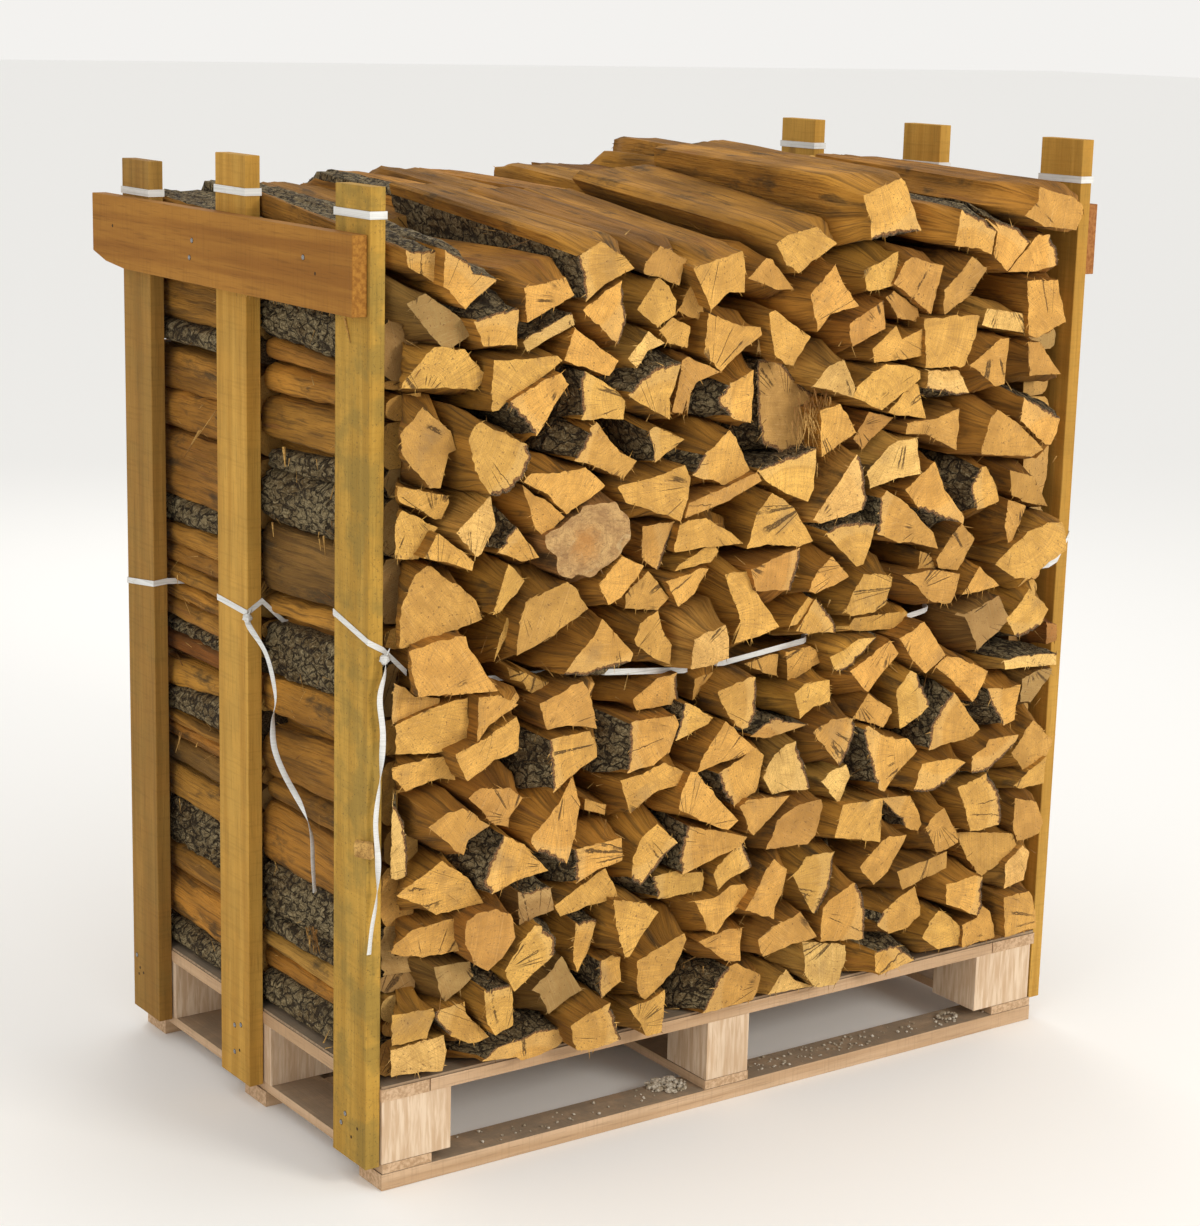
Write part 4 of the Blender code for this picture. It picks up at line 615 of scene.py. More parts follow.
    (40, "", "honey", -438, 1116, -341, 1118, -332, 1112, -362, 1092, -420, 1060, -432, 1050, -441, 1049,
     -444, 1075),
    (50, "b", "honey", -417, 1059, -359, 1091, -335, 1094, -321, 1079, -341, 1053, -371, 1011, -398, 1038),
    (40, "l", "honey", -303, 1090, -298, 1096, -247, 1068, -229, 1050, -235, 1026, -301, 1029),
    (40, "l", "honey", -314, 976, -289, 1014, -274, 1025, -235, 981, -206, 967, -230, 944, -283, 967),
    (45, "", "honey", -394, 954, -380, 964, -329, 962, -289, 965, -256, 937, -292, 917, -323, 903,
     -356, 934),
    (42, "", "honey", -392, 950, -372, 933, -356, 930, -325, 901, -356, 875, -371, 890),
    (50, "", "knot", -352, 878, -338, 887, -295, 914, -235, 911, -220, 885, -217, 860, -235, 835, -271, 818,
     -311, 814, -332, 829, -350, 865),
    (35, "l", "honey", -427, 862, -417, 884, -402, 899, -365, 850, -392, 846),
    (40, "", "tan", -532, 858, -486, 823, -462, 802, -450, 775, -508, 762, -530, 752, -561, 751, -562, 800,
     -547, 840),
    (40, "", "honey", -411, 846, -383, 820, -395, 805, -426, 781, -438, 779, -423, 821),
    (50, "", "honey", -268, 802, -256, 817, -229, 840, -190, 820, -205, 800, -226, 779, -250, 770),
    (30, "", "tan", -222, 784, -184, 814, -168, 799, -147, 772, -165, 755, -220, 764),
    (45, "", "honey", -236, 934, -172, 944, -127, 956, -118, 938, -120, 908, -135, 879, -175, 893,
     -222, 911),
    # Above the twine, middle
    (45, "t", "honey", -226, 1058, -202, 1084, -175, 1096, -137, 1099, -155, 1047, -156, 1020, -202, 1041),
    (40, "", "tan", -134, 1099, -126, 1105, -90, 1090, -72, 1081, -108, 1070, -128, 1047, -128, 1023,
     -153, 1029),
    (40, "l", "honey", -78, 1041, -56, 1062, -14, 1081, -12, 1050, -14, 1005, -50, 1014),
    (35, "l", "honey", -193, 1008, -181, 1014, -126, 991, -165, 968, -178, 961),
    (40, "l", "honey", -120, 941, -99, 968, -50, 999, -38, 990, -23, 962, -8, 938, -50, 920),
    (50, "", "tan", -120, 902, 1, 935, 13, 923, -56, 896, -126, 881),
    (40, "t", "honey", 1, 938, 41, 953, 104, 965, 104, 902, 95, 885, 53, 899, 16, 923),
    (45, "", "honey", 110, 1015, 147, 1023, 162, 1005, 178, 979, 116, 947),
    (5, "all", "bark", -10, 1095, 30, 1095, 59, 1072, 110, 1030, 104, 1000, 98, 968, 40, 958, 0, 975,
     -8, 1010),
    (45, "", "pale", 94, 1050, 122, 1078, 153, 1087, 174, 1044, 171, 1029, 119, 1044),
    (45, "", "honey", 174, 1044, 204, 1066, 228, 1075, 265, 1072, 296, 1062, 298, 1050, 228, 1006, 171,
     1030),
    (30, "", "tan", 171, 970, 201, 1008, 251, 996, 210, 968, 189, 952),
    (50, "r", "pale", 103, 858, 181, 950, 198, 929, 210, 878, 203, 864, 119, 852),
    (45, "", "pale", 204, 920, 240, 956, 255, 962, 292, 965, 307, 909, 265, 905, 212, 893),
    (45, "t", "honey", 133, 835, 147, 847, 180, 850, 225, 846, 210, 802, 201, 784, 188, 781),
    (45, "", "honey", -17, 828, -2, 878, 27, 906, 71, 881, 112, 826, 86, 820, 16, 830),
    (40, "", "honey", -141, 841, -132, 872, -117, 878, -87, 878, -41, 853, -23, 837, -138, 834),
    (30, "", "honey", -138, 808, -132, 817, -87, 838, -68, 838, -62, 829, -75, 814),
    (40, "", "honey", -155, 796, -114, 802, -90, 808, -75, 805, -104, 772, -134, 757),
    (25, "r", "tan", -197, 878, -138, 879, -156, 829, -165, 812, -181, 820, -199, 832),
    (45, "r", "tan", -8, 798, 53, 814, 86, 820, 89, 800, 71, 758, 3, 765),
    # Above the twine, right half
    (45, "l", "honey", 225, 881, 239, 891, 283, 868, 325, 832, 343, 817, 355, 791, 301, 806, 271, 808,
     222, 828),
    (45, "b", "honey", 283, 887, 310, 908, 337, 925, 355, 884, 392, 838, 389, 828, 337, 841, 307, 856),
    (45, "", "tan", 271, 987, 331, 990, 377, 1002, 378, 938, 310, 967, 274, 970),
    (50, "", "honey", 421, 929, 428, 956, 440, 987, 452, 996, 498, 972, 557, 926, 531, 917),
    (45, "t", "honey", 498, 975, 501, 1011, 558, 990, 586, 975, 581, 950, 571, 932, 558, 932),
    (45, "", "honey", 392, 1064, 452, 1102, 469, 1102, 463, 1032, 445, 1029),
    (35, "", "tan", 507, 1093, 531, 1093, 580, 1040, 546, 1041, 513, 1040),
    (45, "b", "pale", 310, 1061, 374, 1059, 395, 1023, 362, 1020, 307, 1035),
    (40, "", "honey", 233, 1005, 283, 1047, 295, 1044, 312, 990, 251, 999),
    (40, "l", "honey", 402, 880, 422, 911, 434, 911, 452, 893, 471, 853, 425, 843),
    (25, "", "tan", 483, 902, 537, 887, 552, 865, 572, 837, 522, 847, 489, 862),
    (35, "", "tan", 486, 856, 522, 844, 513, 817, 501, 793, 495, 773, 483, 817),
    # The top two courses, left half
    (40, "t", "honey", -559, 1262, -521, 1262, -521, 1214, -541, 1228, -556, 1240),
    (40, "t", "honey", -518, 1261, -480, 1245, -474, 1231, -436, 1221, -482, 1183, -517, 1213),
    (45, "", "grey", -558, 1195, -538, 1207, -498, 1180, -471, 1152, -511, 1131, -523, 1140),
    (45, "", "honey", -568, 1089, -530, 1140, -485, 1133, -448, 1095, -465, 1077, -483, 1081),
    (45, "t", "honey", -474, 1168, -456, 1177, -402, 1184, -402, 1133, -456, 1134),
    (50, "", "honey", -398, 1208, -329, 1221, -314, 1195, -347, 1180, -391, 1162),
    (30, "t", "pale", -397, 1137, -383, 1149, -320, 1174, -315, 1157, -389, 1124),
    (45, "l", "honey", -314, 1246, -277, 1266, -235, 1240, -221, 1227, -268, 1207, -297, 1184),
    (45, "r", "honey", -305, 1175, -256, 1207, -242, 1212, -236, 1192, -230, 1155, -241, 1125),
    (40, "", "honey", -330, 1116, -314, 1152, -242, 1105, -256, 1084, -332, 1110),
    (40, "", "pale", -229, 1107, -193, 1143, -165, 1125, -193, 1116, -214, 1093),
    # The top two courses, middle
    (30, "", "tan", -207, 1232, -181, 1258, -132, 1236, -144, 1201, -205, 1219),
    (35, "", "honey", -218, 1172, -181, 1215, -162, 1201, -149, 1181, -150, 1162, -181, 1146),
    (20, "", "honey", -147, 1168, -129, 1201, -120, 1192, -105, 1171, -99, 1149, -129, 1158),
    (50, "", "honey", -126, 1225, -41, 1245, -32, 1216, -32, 1187, -59, 1189, -90, 1165),
    (40, "", "honey", -31, 1207, 1, 1234, 13, 1231, 57, 1187, 22, 1189),
    (50, "", "honey", 16, 1252, 35, 1265, 89, 1275, 130, 1249, 62, 1210, 38, 1222),
    (50, "", "honey", 80, 1180, 122, 1222, 144, 1192, 175, 1160, 122, 1149, 101, 1127),
    (35, "", "honey", -178, 1143, -156, 1160, -126, 1146, -128, 1115, -159, 1122),
    (40, "", "honey", -103, 1107, -93, 1162, -38, 1143, -2, 1139, 1, 1128, -50, 1098, -72, 1080),
    (45, "", "honey", 7, 1158, 18, 1163, 89, 1121, 60, 1080, 44, 1083, 22, 1098),
    (15, "", "pale", -9, 1104, -8, 1122, 16, 1122, 18, 1104),
    (40, "", "tan", 153, 1137, 219, 1168, 228, 1125, 163, 1101),
    (35, "", "honey", 178, 1210, 243, 1237, 237, 1187, 212, 1181, 186, 1180),
    (50, "b", "honey", 168, 1316, 198, 1325, 243, 1339, 251, 1334, 286, 1262, 240, 1258, 186, 1251,
     183, 1280),
    # The top two courses, right half
    (40, "", "honey", 203, 1098, 243, 1130, 258, 1110, 296, 1124, 298, 1083, 255, 1078, 207, 1077),
    (30, "", "tan", 221, 1171, 237, 1180, 284, 1152, 292, 1130, 246, 1140),
    (45, "", "tan", 239, 1189, 255, 1222, 265, 1228, 327, 1213, 312, 1142),
    (50, "", "honey", 300, 1137, 404, 1139, 408, 1136, 401, 1107, 380, 1062, 304, 1065),
    (45, "", "tan", 330, 1177, 362, 1201, 386, 1225, 419, 1204, 389, 1168, 336, 1140, 330, 1155),
    (45, "t", "honey", 346, 1240, 360, 1292, 404, 1279, 433, 1262, 422, 1225, 392, 1234),
    (45, "t", "honey", 406, 1280, 474, 1265, 501, 1242, 455, 1198, 424, 1225, 435, 1262),
    (45, "r", "honey", 457, 1198, 513, 1254, 537, 1252, 558, 1231, 563, 1204, 513, 1196),
    (52, "", "honey", 487, 1280, 510, 1301, 513, 1322, 580, 1307, 601, 1295, 604, 1280, 592, 1255, 528,
     1262),
    (45, "", "honey", 499, 1186, 558, 1183, 581, 1119, 525, 1096, 510, 1101),
    (30, "", "pale", 412, 1122, 422, 1146, 449, 1144, 501, 1134, 495, 1107, 431, 1116),
)

print("log ends read", len(FRONT_LOGS))

# %% The top logs of the back row, from the silhouette seen above the front row
BACK_TOP_LOGS = (
    (12, "t", "tan", -592, 1195, -520, 1190, -505, 1250, -540, 1290, -590, 1280),
    (20, "t", "honey", -500, 1200, -430, 1195, -425, 1260, -468, 1304, -505, 1270),
    (10, "", "tan", -420, 1200, -335, 1190, -325, 1250, -350, 1296, -400, 1296),
    (22, "t", "honey", -320, 1195, -250, 1190, -228, 1250, -268, 1313, -315, 1290),
    (14, "", "tan", -235, 1195, -165, 1195, -140, 1260, -180, 1318, -215, 1300),
    (25, "l", "honey", -150, 1190, -70, 1195, -60, 1255, -100, 1312, -130, 1290),
    (8, "t", "tan", -62, 1200, 5, 1190, 18, 1250, -15, 1296, -48, 1280),
    (16, "", "honey", 15, 1195, 90, 1190, 100, 1262, 75, 1320, 28, 1312),
    (24, "", "tan", 100, 1190, 170, 1195, 190, 1255, 165, 1316, 110, 1318),
    (12, "", "honey", 182, 1190, 245, 1195, 240, 1270, 215, 1312, 195, 1312),
    (20, "", "tan", 255, 1190, 330, 1195, 345, 1260, 305, 1330, 262, 1330),
    (6, "", "tan", 250, 1322, 305, 1330, 298, 1352, 275, 1360, 256, 1354),
    (18, "l", "honey", 345, 1190, 415, 1195, 425, 1265, 380, 1320, 352, 1310),
    (10, "", "tan", 425, 1190, 500, 1195, 505, 1262, 470, 1318, 435, 1320),
    (15, "t", "honey", 510, 1190, 592, 1195, 594, 1270, 560, 1312, 518, 1308),
)

print("top logs of the back row", len(BACK_TOP_LOGS))

# %% [markdown]
# ## From the tables to outlines in space
# A log end that stands proud of the front plane looks larger than it is, so each outline is
# drawn in towards the photographer's eye. The back row isn't seen: it is the front row turned
# round, with a top course of its own. Every log then falls into one of the CAD's groups.

# %% Tints, twine lines and the size of the stack
TINTS = {
    "honey": (0.68, 0.385, 0.092), "pale": (0.78, 0.490, 0.160), "tan": (0.55, 0.300, 0.075),
    "grey": (0.40, 0.255, 0.095), "rust": (0.36, 0.150, 0.040), "knot": (0.50, 0.290, 0.125),
    "bark": (0.45, 0.26, 0.08),
}
FRONT_TWINE = ((-0.600, 0.750), (-0.565, 0.716), (-0.430, 0.683), (-0.250, 0.678), (-0.115, 0.664),
               (-0.045, 0.666), (0.100, 0.681), (0.290, 0.694), (0.340, 0.702), (0.583, 0.745),
               (0.600, 0.752))
BACK_TWINE = ((-0.600, 0.722), (-0.300, 0.694), (0.000, 0.690), (0.300, 0.700), (0.600, 0.742))
HALF_DEPTH = 0.360
DECK_TOP = 0.1493
STACK_SIDE = 0.5975
MIRROR_BELOW = 1.190
LEFT_EDGE_SHIFT = 20
LEFT_COLUMN = -555
LEFT_PROUD = 0.4
TOP_COURSE = 1.16
BACK_PROUD = 0.6
COLUMNS = ("far_left", "left", "right", "far_right")
COLUMN_EDGES = (-0.300, 0.000, 0.300)
LOW_BAND = 0.420
HIGH_BAND = 1.000
print("stack", 2 * STACK_SIDE, "wide and", 2 * HALF_DEPTH, "deep, from height", DECK_TOP)


# %% Outlines and groups
def along(line, x):
    """Height of a slanting twine line at x."""
    for (xa, za), (xb, zb) in zip(line, line[1:]):
        if x <= xb:
            return za + (zb - za) * max(0.0, (x - xa) / (xb - xa))
    return line[-1][1]


def middle(outline):
    return (sum(p[0] for p in outline) / len(outline), sum(p[1] for p in outline) / len(outline))


def signed_area(outline):
    total = 0.0
    for (x0, z0), (x1, z1) in zip(outline, outline[1:] + outline[:1]):
        total += x0 * z1 - x1 * z0
    return total / 2


def true_outline(proud, numbers):
    """From the plane on which it was read to the plane on which the log end stands."""
    nearer = 1 - proud / (-EYE.y - HALF_DEPTH)
    outline = []
    for x, z in zip(numbers[0::2], numbers[1::2]):
        x -= LEFT_EDGE_SHIFT * max(0.0, min(1.0, (-520 - x) / 50))
        outline.append((EYE.x + (x / 1000 - EYE.x) * nearer, EYE.z + (z / 1000 - EYE.z) * nearer))
    return outline if signed_area(outline) > 0 else outline[::-1]


def group_at(x, z, front_row):
    """The CAD group of a log whose middle is at x, z."""
    above = z > along(FRONT_TWINE if front_row else BACK_TWINE, x)
    if not front_row:
        return f"back_{'upper' if above else 'lower'}_{'left' if x < 0 else 'right'}"
    if above:
        band = "top" if z > HIGH_BAND else "upper"
    else:
        band = "lower" if z > LOW_BAND else "bottom"
    return f"front_{band}_{COLUMNS[sum(x > edge for edge in COLUMN_EDGES)]}"


def front_logs():
    logs = []
    for proud, bark, tint, *numbers in FRONT_LOGS:
        if min(numbers[0::2]) < LEFT_COLUMN:
            proud *= LEFT_PROUD
        outline = true_outline(proud / 1000, numbers)
        logs.append({"proud": proud / 1000, "bark": bark, "tint": tint, "outline": outline,
                     "group": group_at(*middle(outline), True), "front": True})
    return logs


def back_logs():
    """The back row: the front one turned round, shifted to its own twine, with its own top."""
    flip = {"l": "r", "r": "l", "rb": "lb"}
    logs = []
    for log in front_logs():
        if middle(log["outline"])[1] > MIRROR_BELOW:
            continue
        outline = []
        for x, z in reversed(log["outline"]):
            shift = along(BACK_TWINE, -x) - along(FRONT_TWINE, x)
            slot_z = along(FRONT_TWINE, x)
            if z < slot_z:
                share = max(0.0, (z - DECK_TOP) / (slot_z - DECK_TOP))
            else:
                share = max(0.0, (MIRROR_BELOW - z) / (MIRROR_BELOW - slot_z))
            outline.append((-x, z + shift * share))
        logs.append({"proud": log["proud"] * BACK_PROUD, "bark": flip.get(log["bark"], log["bark"]),
                     "tint": log["tint"], "outline": outline, "front": False})
    for proud, bark, tint, *numbers in BACK_TOP_LOGS:
        outline = [(x / 1000, z / 1000) for x, z in zip(numbers[0::2], numbers[1::2])]
        logs.append({"proud": proud / 1000, "bark": bark, "tint": tint, "outline": outline, "front": False})
    for log in logs:
        log["group"] = group_at(*middle(log["outline"]), False)
    return logs


front = front_logs()
back = back_logs()
print("front row", len(front), "back row", len(back))

# %% [markdown]
# ## No gaps behind the ends
# Behind its end a log is as thick as its neighbours let it be: the outline grows until it
# meets them, so the stack closes up and no light comes through.

# %% How far each log swells behind its end
GROW = 0.028
WALL_GROW = 0.060
WALL_ROOM = 0.036
VISIBLE_TWINE = ((-0.606, -0.566), (-0.252, -0.110), (-0.050, 0.104), (0.284, 0.336), (0.578, 0.620))
SLOT_HALF = 0.0065
WALL_ZONE = 0.52
ROOF_REACH = 0.11
ROOF_HEIGHTS = (0.02, 0.20)
TOUCH = 0.0004


def cross(o, a, b):
    return (a[0] - o[0]) * (b[1] - o[1]) - (a[1] - o[1]) * (b[0] - o[0])


def hull(points):
    """Convex outline round a set of points."""
    points = sorted(set(points))
    halves = []
    for run in (points, points[::-1]):
        half = []
        for p in run:
            while len(half) > 1 and cross(half[-2], half[-1], p) <= 0:
                half.pop()
            half.append(p)
        halves.append(half[:-1])
    return halves[0] + halves[1]


def keep_side(poly, normal, limit):
    """The part of a convex outline where normal . p <= limit."""
    kept = []
    for a, b in zip(poly, poly[1:] + poly[:1]):
        da = normal[0] * a[0] + normal[1] * a[1] - limit
        db = normal[0] * b[0] + normal[1] * b[1] - limit
        if da <= 0:
            kept.append(a)
        if (da < 0 < db) or (db < 0 < da):
            t = da / (da - db)
            kept.append((a[0] + (b[0] - a[0]) * t, a[1] + (b[1] - a[1]) * t))
    return kept


def edge_normals(poly):
    for a, b in zip(poly, poly[1:] + poly[:1]):
        length = math.hypot(b[0] - a[0], b[1] - a[1])
        if length > 1e-6:
            yield ((b[1] - a[1]) / length, -(b[0] - a[0]) / length)


def span(poly, axis):
    values = [p[axis] for p in poly]
    return min(values), max(values)


def grown(poly, by):
    """The outline with every edge moved out, inside its own box grown by the same."""
    (x0, x1), (z0, z1) = span(poly, 0), span(poly, 1)
    result = [(x0 - by, z0 - by), (x1 + by, z0 - by), (x1 + by, z1 + by), (x0 - by, z1 + by)]
    for n in edge_normals(poly):
        result = keep_side(result, n, max(n[0] * p[0] + n[1] * p[1] for p in poly) + by)
    return result


def parting_line(one, other):
    """The direction that parts two outlines best, and the middle of the gap along it."""
    best = None
    for n in list(edge_normals(one)) + [(-n[0], -n[1]) for n in edge_normals(other)]:
        near = max(n[0] * p[0] + n[1] * p[1] for p in one)
        far = min(n[0] * p[0] + n[1] * p[1] for p in other)
        if best is None or far - near > best[0]:
            best = (far - near, n, (far + near) / 2)
    return best


def boxes_meet(a, b):
    (ax0, ax1), (az0, az1) = span(a, 0), span(a, 1)
    (bx0, bx1), (bz0, bz1) = span(b, 0), span(b, 1)
    return ax0 < bx1 and bx0 < ax1 and az0 < bz1 and bz0 < az1


def clear_of_twine(poly, line, above):
    """Cut back from the twine where the photograph shows it between the log ends."""
    x0, x1 = span(poly, 0)
    if not any(low < (x0 + x1) / 2 < high for low, high in VISIBLE_TWINE):
        return poly
    for (xa, za), (xb, zb) in zip(line, line[1:]):
        if xb < x0 or xa > x1 or len(poly) < 3:
            continue
        slope = (zb - za) / (xb - xa)
        if above:
            poly = keep_side(poly, (slope, -1.0), slope * xa - za - SLOT_HALF)
        else:
            poly = keep_side(poly, (-slope, 1.0), za - slope * xa - SLOT_HALF)
    return poly


def has_roof(log, logs):
    """Whether another log lies on top of this one."""
    x, z = middle(log["core"])
    for other in logs:
        ox, oz = middle(other["core"])
        if other is not log and abs(ox - x) < ROOF_REACH and ROOF_HEIGHTS[0] < oz - z < ROOF_HEIGHTS[1]:
            return True
    return False


def swell_row(logs, line):
    for log in logs:
        log["core"] = hull(log["outline"])
        near_wall = max(abs(x) for x in span(log["core"], 0)) > WALL_ZONE
        log["reach"] = grown(log["core"], WALL_GROW if near_wall else GROW)
    for log in logs:
        fit = log["reach"]
        for other in logs:
            if other is log or len(fit) < 3 or not boxes_meet(fit, other["reach"]):
                continue
            _, n, line_at = parting_line(log["core"], other["core"])
            fit = keep_side(fit, n, line_at + TOUCH)
        fit = keep_side(fit, (-1.0, 0.0), STACK_SIDE)
        fit = keep_side(fit, (1.0, 0.0), STACK_SIDE)
        fit = keep_side(fit, (0.0, -1.0), -DECK_TOP - 0.0005)
        log["roofless"] = not has_roof(log, logs)
        if log["roofless"]:
            fit = keep_side(fit, (0.0, 1.0), span(log["core"], 1)[1] + 0.002)
        x, z = middle(log["core"])
        if log["front"]:
            fit = clear_of_twine(fit, line, z > along(line, x))
        log["fit"] = fit if len(fit) > 2 else log["core"]


swell_row(front, FRONT_TWINE)
swell_row(back, BACK_TWINE)
rows = front + back
print("logs", len(rows), "front", len(front))

# %% [markdown]
# ## One split log
# The outline gets a point every few millimetres, barked sides are rounded, and the face
# is extruded in steps from its inner end to its outer end. Then every point is moved:
# split sides get ridges that run along the log, bark gets lumps, and the log as a whole
# bends and turns a little. The outer end is cut slightly askew and has a narrow rim, so that
# bark shows as a dark band round it.

# %% Outline with fine, uneven edges
FRONT_STEP = 0.0045
BACK_STEP = 0.0060
RING_STEP = 0.024
END_STEPS = (0.010, 0.018)
END_LENGTH = 0.028
QUICK_SWELL = 0.016
SLOW_SWELL = 0.055
TWINE_ZONE = 0.016
SIDES = {"l": (-1.0, 0.0), "r": (1.0, 0.0), "t": (0.0, 1.0), "b": (0.0, -1.0)}


def edge_has_bark(a, b, letters):
    if letters == "all":
        return True
    length = math.hypot(b[0] - a[0], b[1] - a[1]) or 1.0
    n = ((b[1] - a[1]) / length, -(b[0] - a[0]) / length)
    return any(n[0] * SIDES[s][0] + n[1] * SIDES[s][1] > 0.62 for s in letters)


def fine_outline(outline, letters, step):
    """Points a step apart, each with 1 on bark and 0 on split wood; bark is rounded."""
    points = []
    for a, b in zip(outline, outline[1:] + outline[:1]):
        count = max(1, round(math.hypot(b[0] - a[0], b[1] - a[1]) / step))
        bark = 1.0 if edge_has_bark(a, b, letters) else 0.0
        for i in range(count):
            t = i / count
            points.append([a[0] + (b[0] - a[0]) * t, a[1] + (b[1] - a[1]) * t, bark])
    for _ in range(3):
        eased = [list(p) for p in points]
        for i, p in enumerate(points):
            before, after = points[i - 1], points[(i + 1) % len(points)]
            if p[2] and before[2] and after[2]:
                eased[i][0] = (before[0] + 2 * p[0] + after[0]) / 4
                eased[i][1] = (before[1] + 2 * p[1] + after[1]) / 4
        points = eased
    return points


print("points round the first end", len(fine_outline(rows[0]["outline"], rows[0]["bark"], FRONT_STEP)))

# %% Build one log as a mesh of its own
def log_layers(bm):
    return {
        "uv": bm.loops.layers.uv.new("grain"),
        "number": bm.verts.layers.float.new("log_number"),
        "rim": bm.verts.layers.float.new("bark_rim"),
        "outer": bm.verts.layers.float.new("heart_to_bark"),
        "tint": bm.verts.layers.float_color.new("log_tint"),
        "turn": bm.verts.layers.float.new("turn"),
        "swell": bm.verts.layers.float.new("swell"),
    }


def drawn_out(bm, cap, keep):
    """Extrude the end face; the old face stays only where it closes the log's other end."""
    drawn = bmesh.ops.extrude_face_region(bm, geom=[cap])["geom"]
    if not keep:
        bmesh.ops.delete(bm, geom=[cap], context="FACES_ONLY")
    moved = [item for item in drawn if isinstance(item, bmesh.types.BMVert)]
    return [item for item in drawn if isinstance(item, bmesh.types.BMFace)][0], moved


def add_log(log, rng):
    """One log as a mesh of its own."""
    bm = bmesh.new()
    layers = log_layers(bm)
    points = fine_outline(log["outline"], log["bark"], FRONT_STEP if log["front"] else BACK_STEP)
    centre = middle(log["outline"])
    size = math.sqrt(abs(signed_area(log["outline"])))
    sign = -1.0 if log["front"] else 1.0
    y_out = sign * (HALF_DEPTH + log["proud"])
    y_in = sign * (0.006 + rng.uniform(0.0, 0.020))
    if log["front"] and log["roofless"] and centre[1] > TOP_COURSE:
        y_in = rng.uniform(0.020, 0.060)
    number = rng.uniform(0.0, 90.0)
    heart, outer = find_heart(points, centre, size, log, rng)
    distance = 0.0
    for i, (x, z, bark) in enumerate(points):
        vert = bm.verts.new((x, y_in, z))
        vert[layers["rim"]] = bark
        vert[layers["turn"]] = distance
        vert[layers["swell"]] = max(1.0, min(1.9, boundary_ratio(log["fit"], centre, x, z)))
        following = points[(i + 1) % len(points)]
        distance += math.hypot(following[0] - x, following[1] - z)
    cap = bmesh.ops.contextual_create(bm, geom=list(bm.verts))["faces"][0]
    steps = max(4, round(abs(y_out - y_in) / RING_STEP))
    lengths = [*END_STEPS] + [1.0] * steps
    step_length = (abs(y_out - y_in) - END_LENGTH) / steps
    for i, length in enumerate(reversed(lengths)):
        cap, moved = drawn_out(bm, cap, i == 0)
        bmesh.ops.translate(bm, vec=(0.0, sign * min(length, step_length), 0.0), verts=moved)
    end_verts = set(cap.verts)
    cap, moved = drawn_out(bm, cap, False)
    inner = set(moved)
    rim_width = min(0.0085 if log["bark"] else 0.0040, size * 0.13)
    for vert in inner:
        away = Vector((vert.co.x - centre[0], 0.0, vert.co.z - centre[1]))
        vert.co -= away * min(0.30, rim_width / max(1e-4, away.length))
    end_verts |= inner
    shape_log(bm, layers, centre, size, y_in, y_out, number, end_verts, log, rng)
    bmesh.ops.recalc_face_normals(bm, faces=bm.faces)
    bm.normal_update()
    bm.verts.index_update()
    add_fringe(bm, layers, end_verts - inner, sign, rng)
    paint_log(bm, layers, inner, heart, outer, distance, number, log, rng)
    return as_mesh(bm, "one_log")


def find_heart(points, centre, size, log, rng):
    """Where the middle of the tree lay, and how far its bark was from there."""
    cx, cz = centre
    bark_points = [p for p in points if p[2]]
    if bark_points and log["bark"] != "all":
        bx = sum(p[0] for p in bark_points) / len(bark_points) - cx
        bz = sum(p[1] for p in bark_points) / len(bark_points) - cz
        away = math.hypot(bx, bz) or 1.0
        outer = max(0.075, size * 1.15) + rng.uniform(0.0, 0.03)
        return (cx + bx - bx / away * outer, cz + bz - bz / away * outer), outer
    turn = rng.uniform(0.0, 2 * math.pi)
    reach = 0.004 if log["tint"] == "knot" or log["bark"] == "all" else size * rng.uniform(0.45, 1.1)
    return (cx + reach * math.cos(turn), cz + reach * math.sin(turn)), 1.0


def boundary_ratio(fit, centre, x, z):
    """How much further the swollen outline lies than this point, seen from the log's centre."""
    dx, dz = x - centre[0], z - centre[1]
    ratio = 3.0
    for n in edge_normals(fit):
        limit = max(n[0] * p[0] + n[1] * p[1] for p in fit)
        room = limit - (n[0] * centre[0] + n[1] * centre[1])
        reach = n[0] * dx + n[1] * dz
        if reach > 1e-6 and room > 0:
            ratio = min(ratio, room / reach)
    return ratio


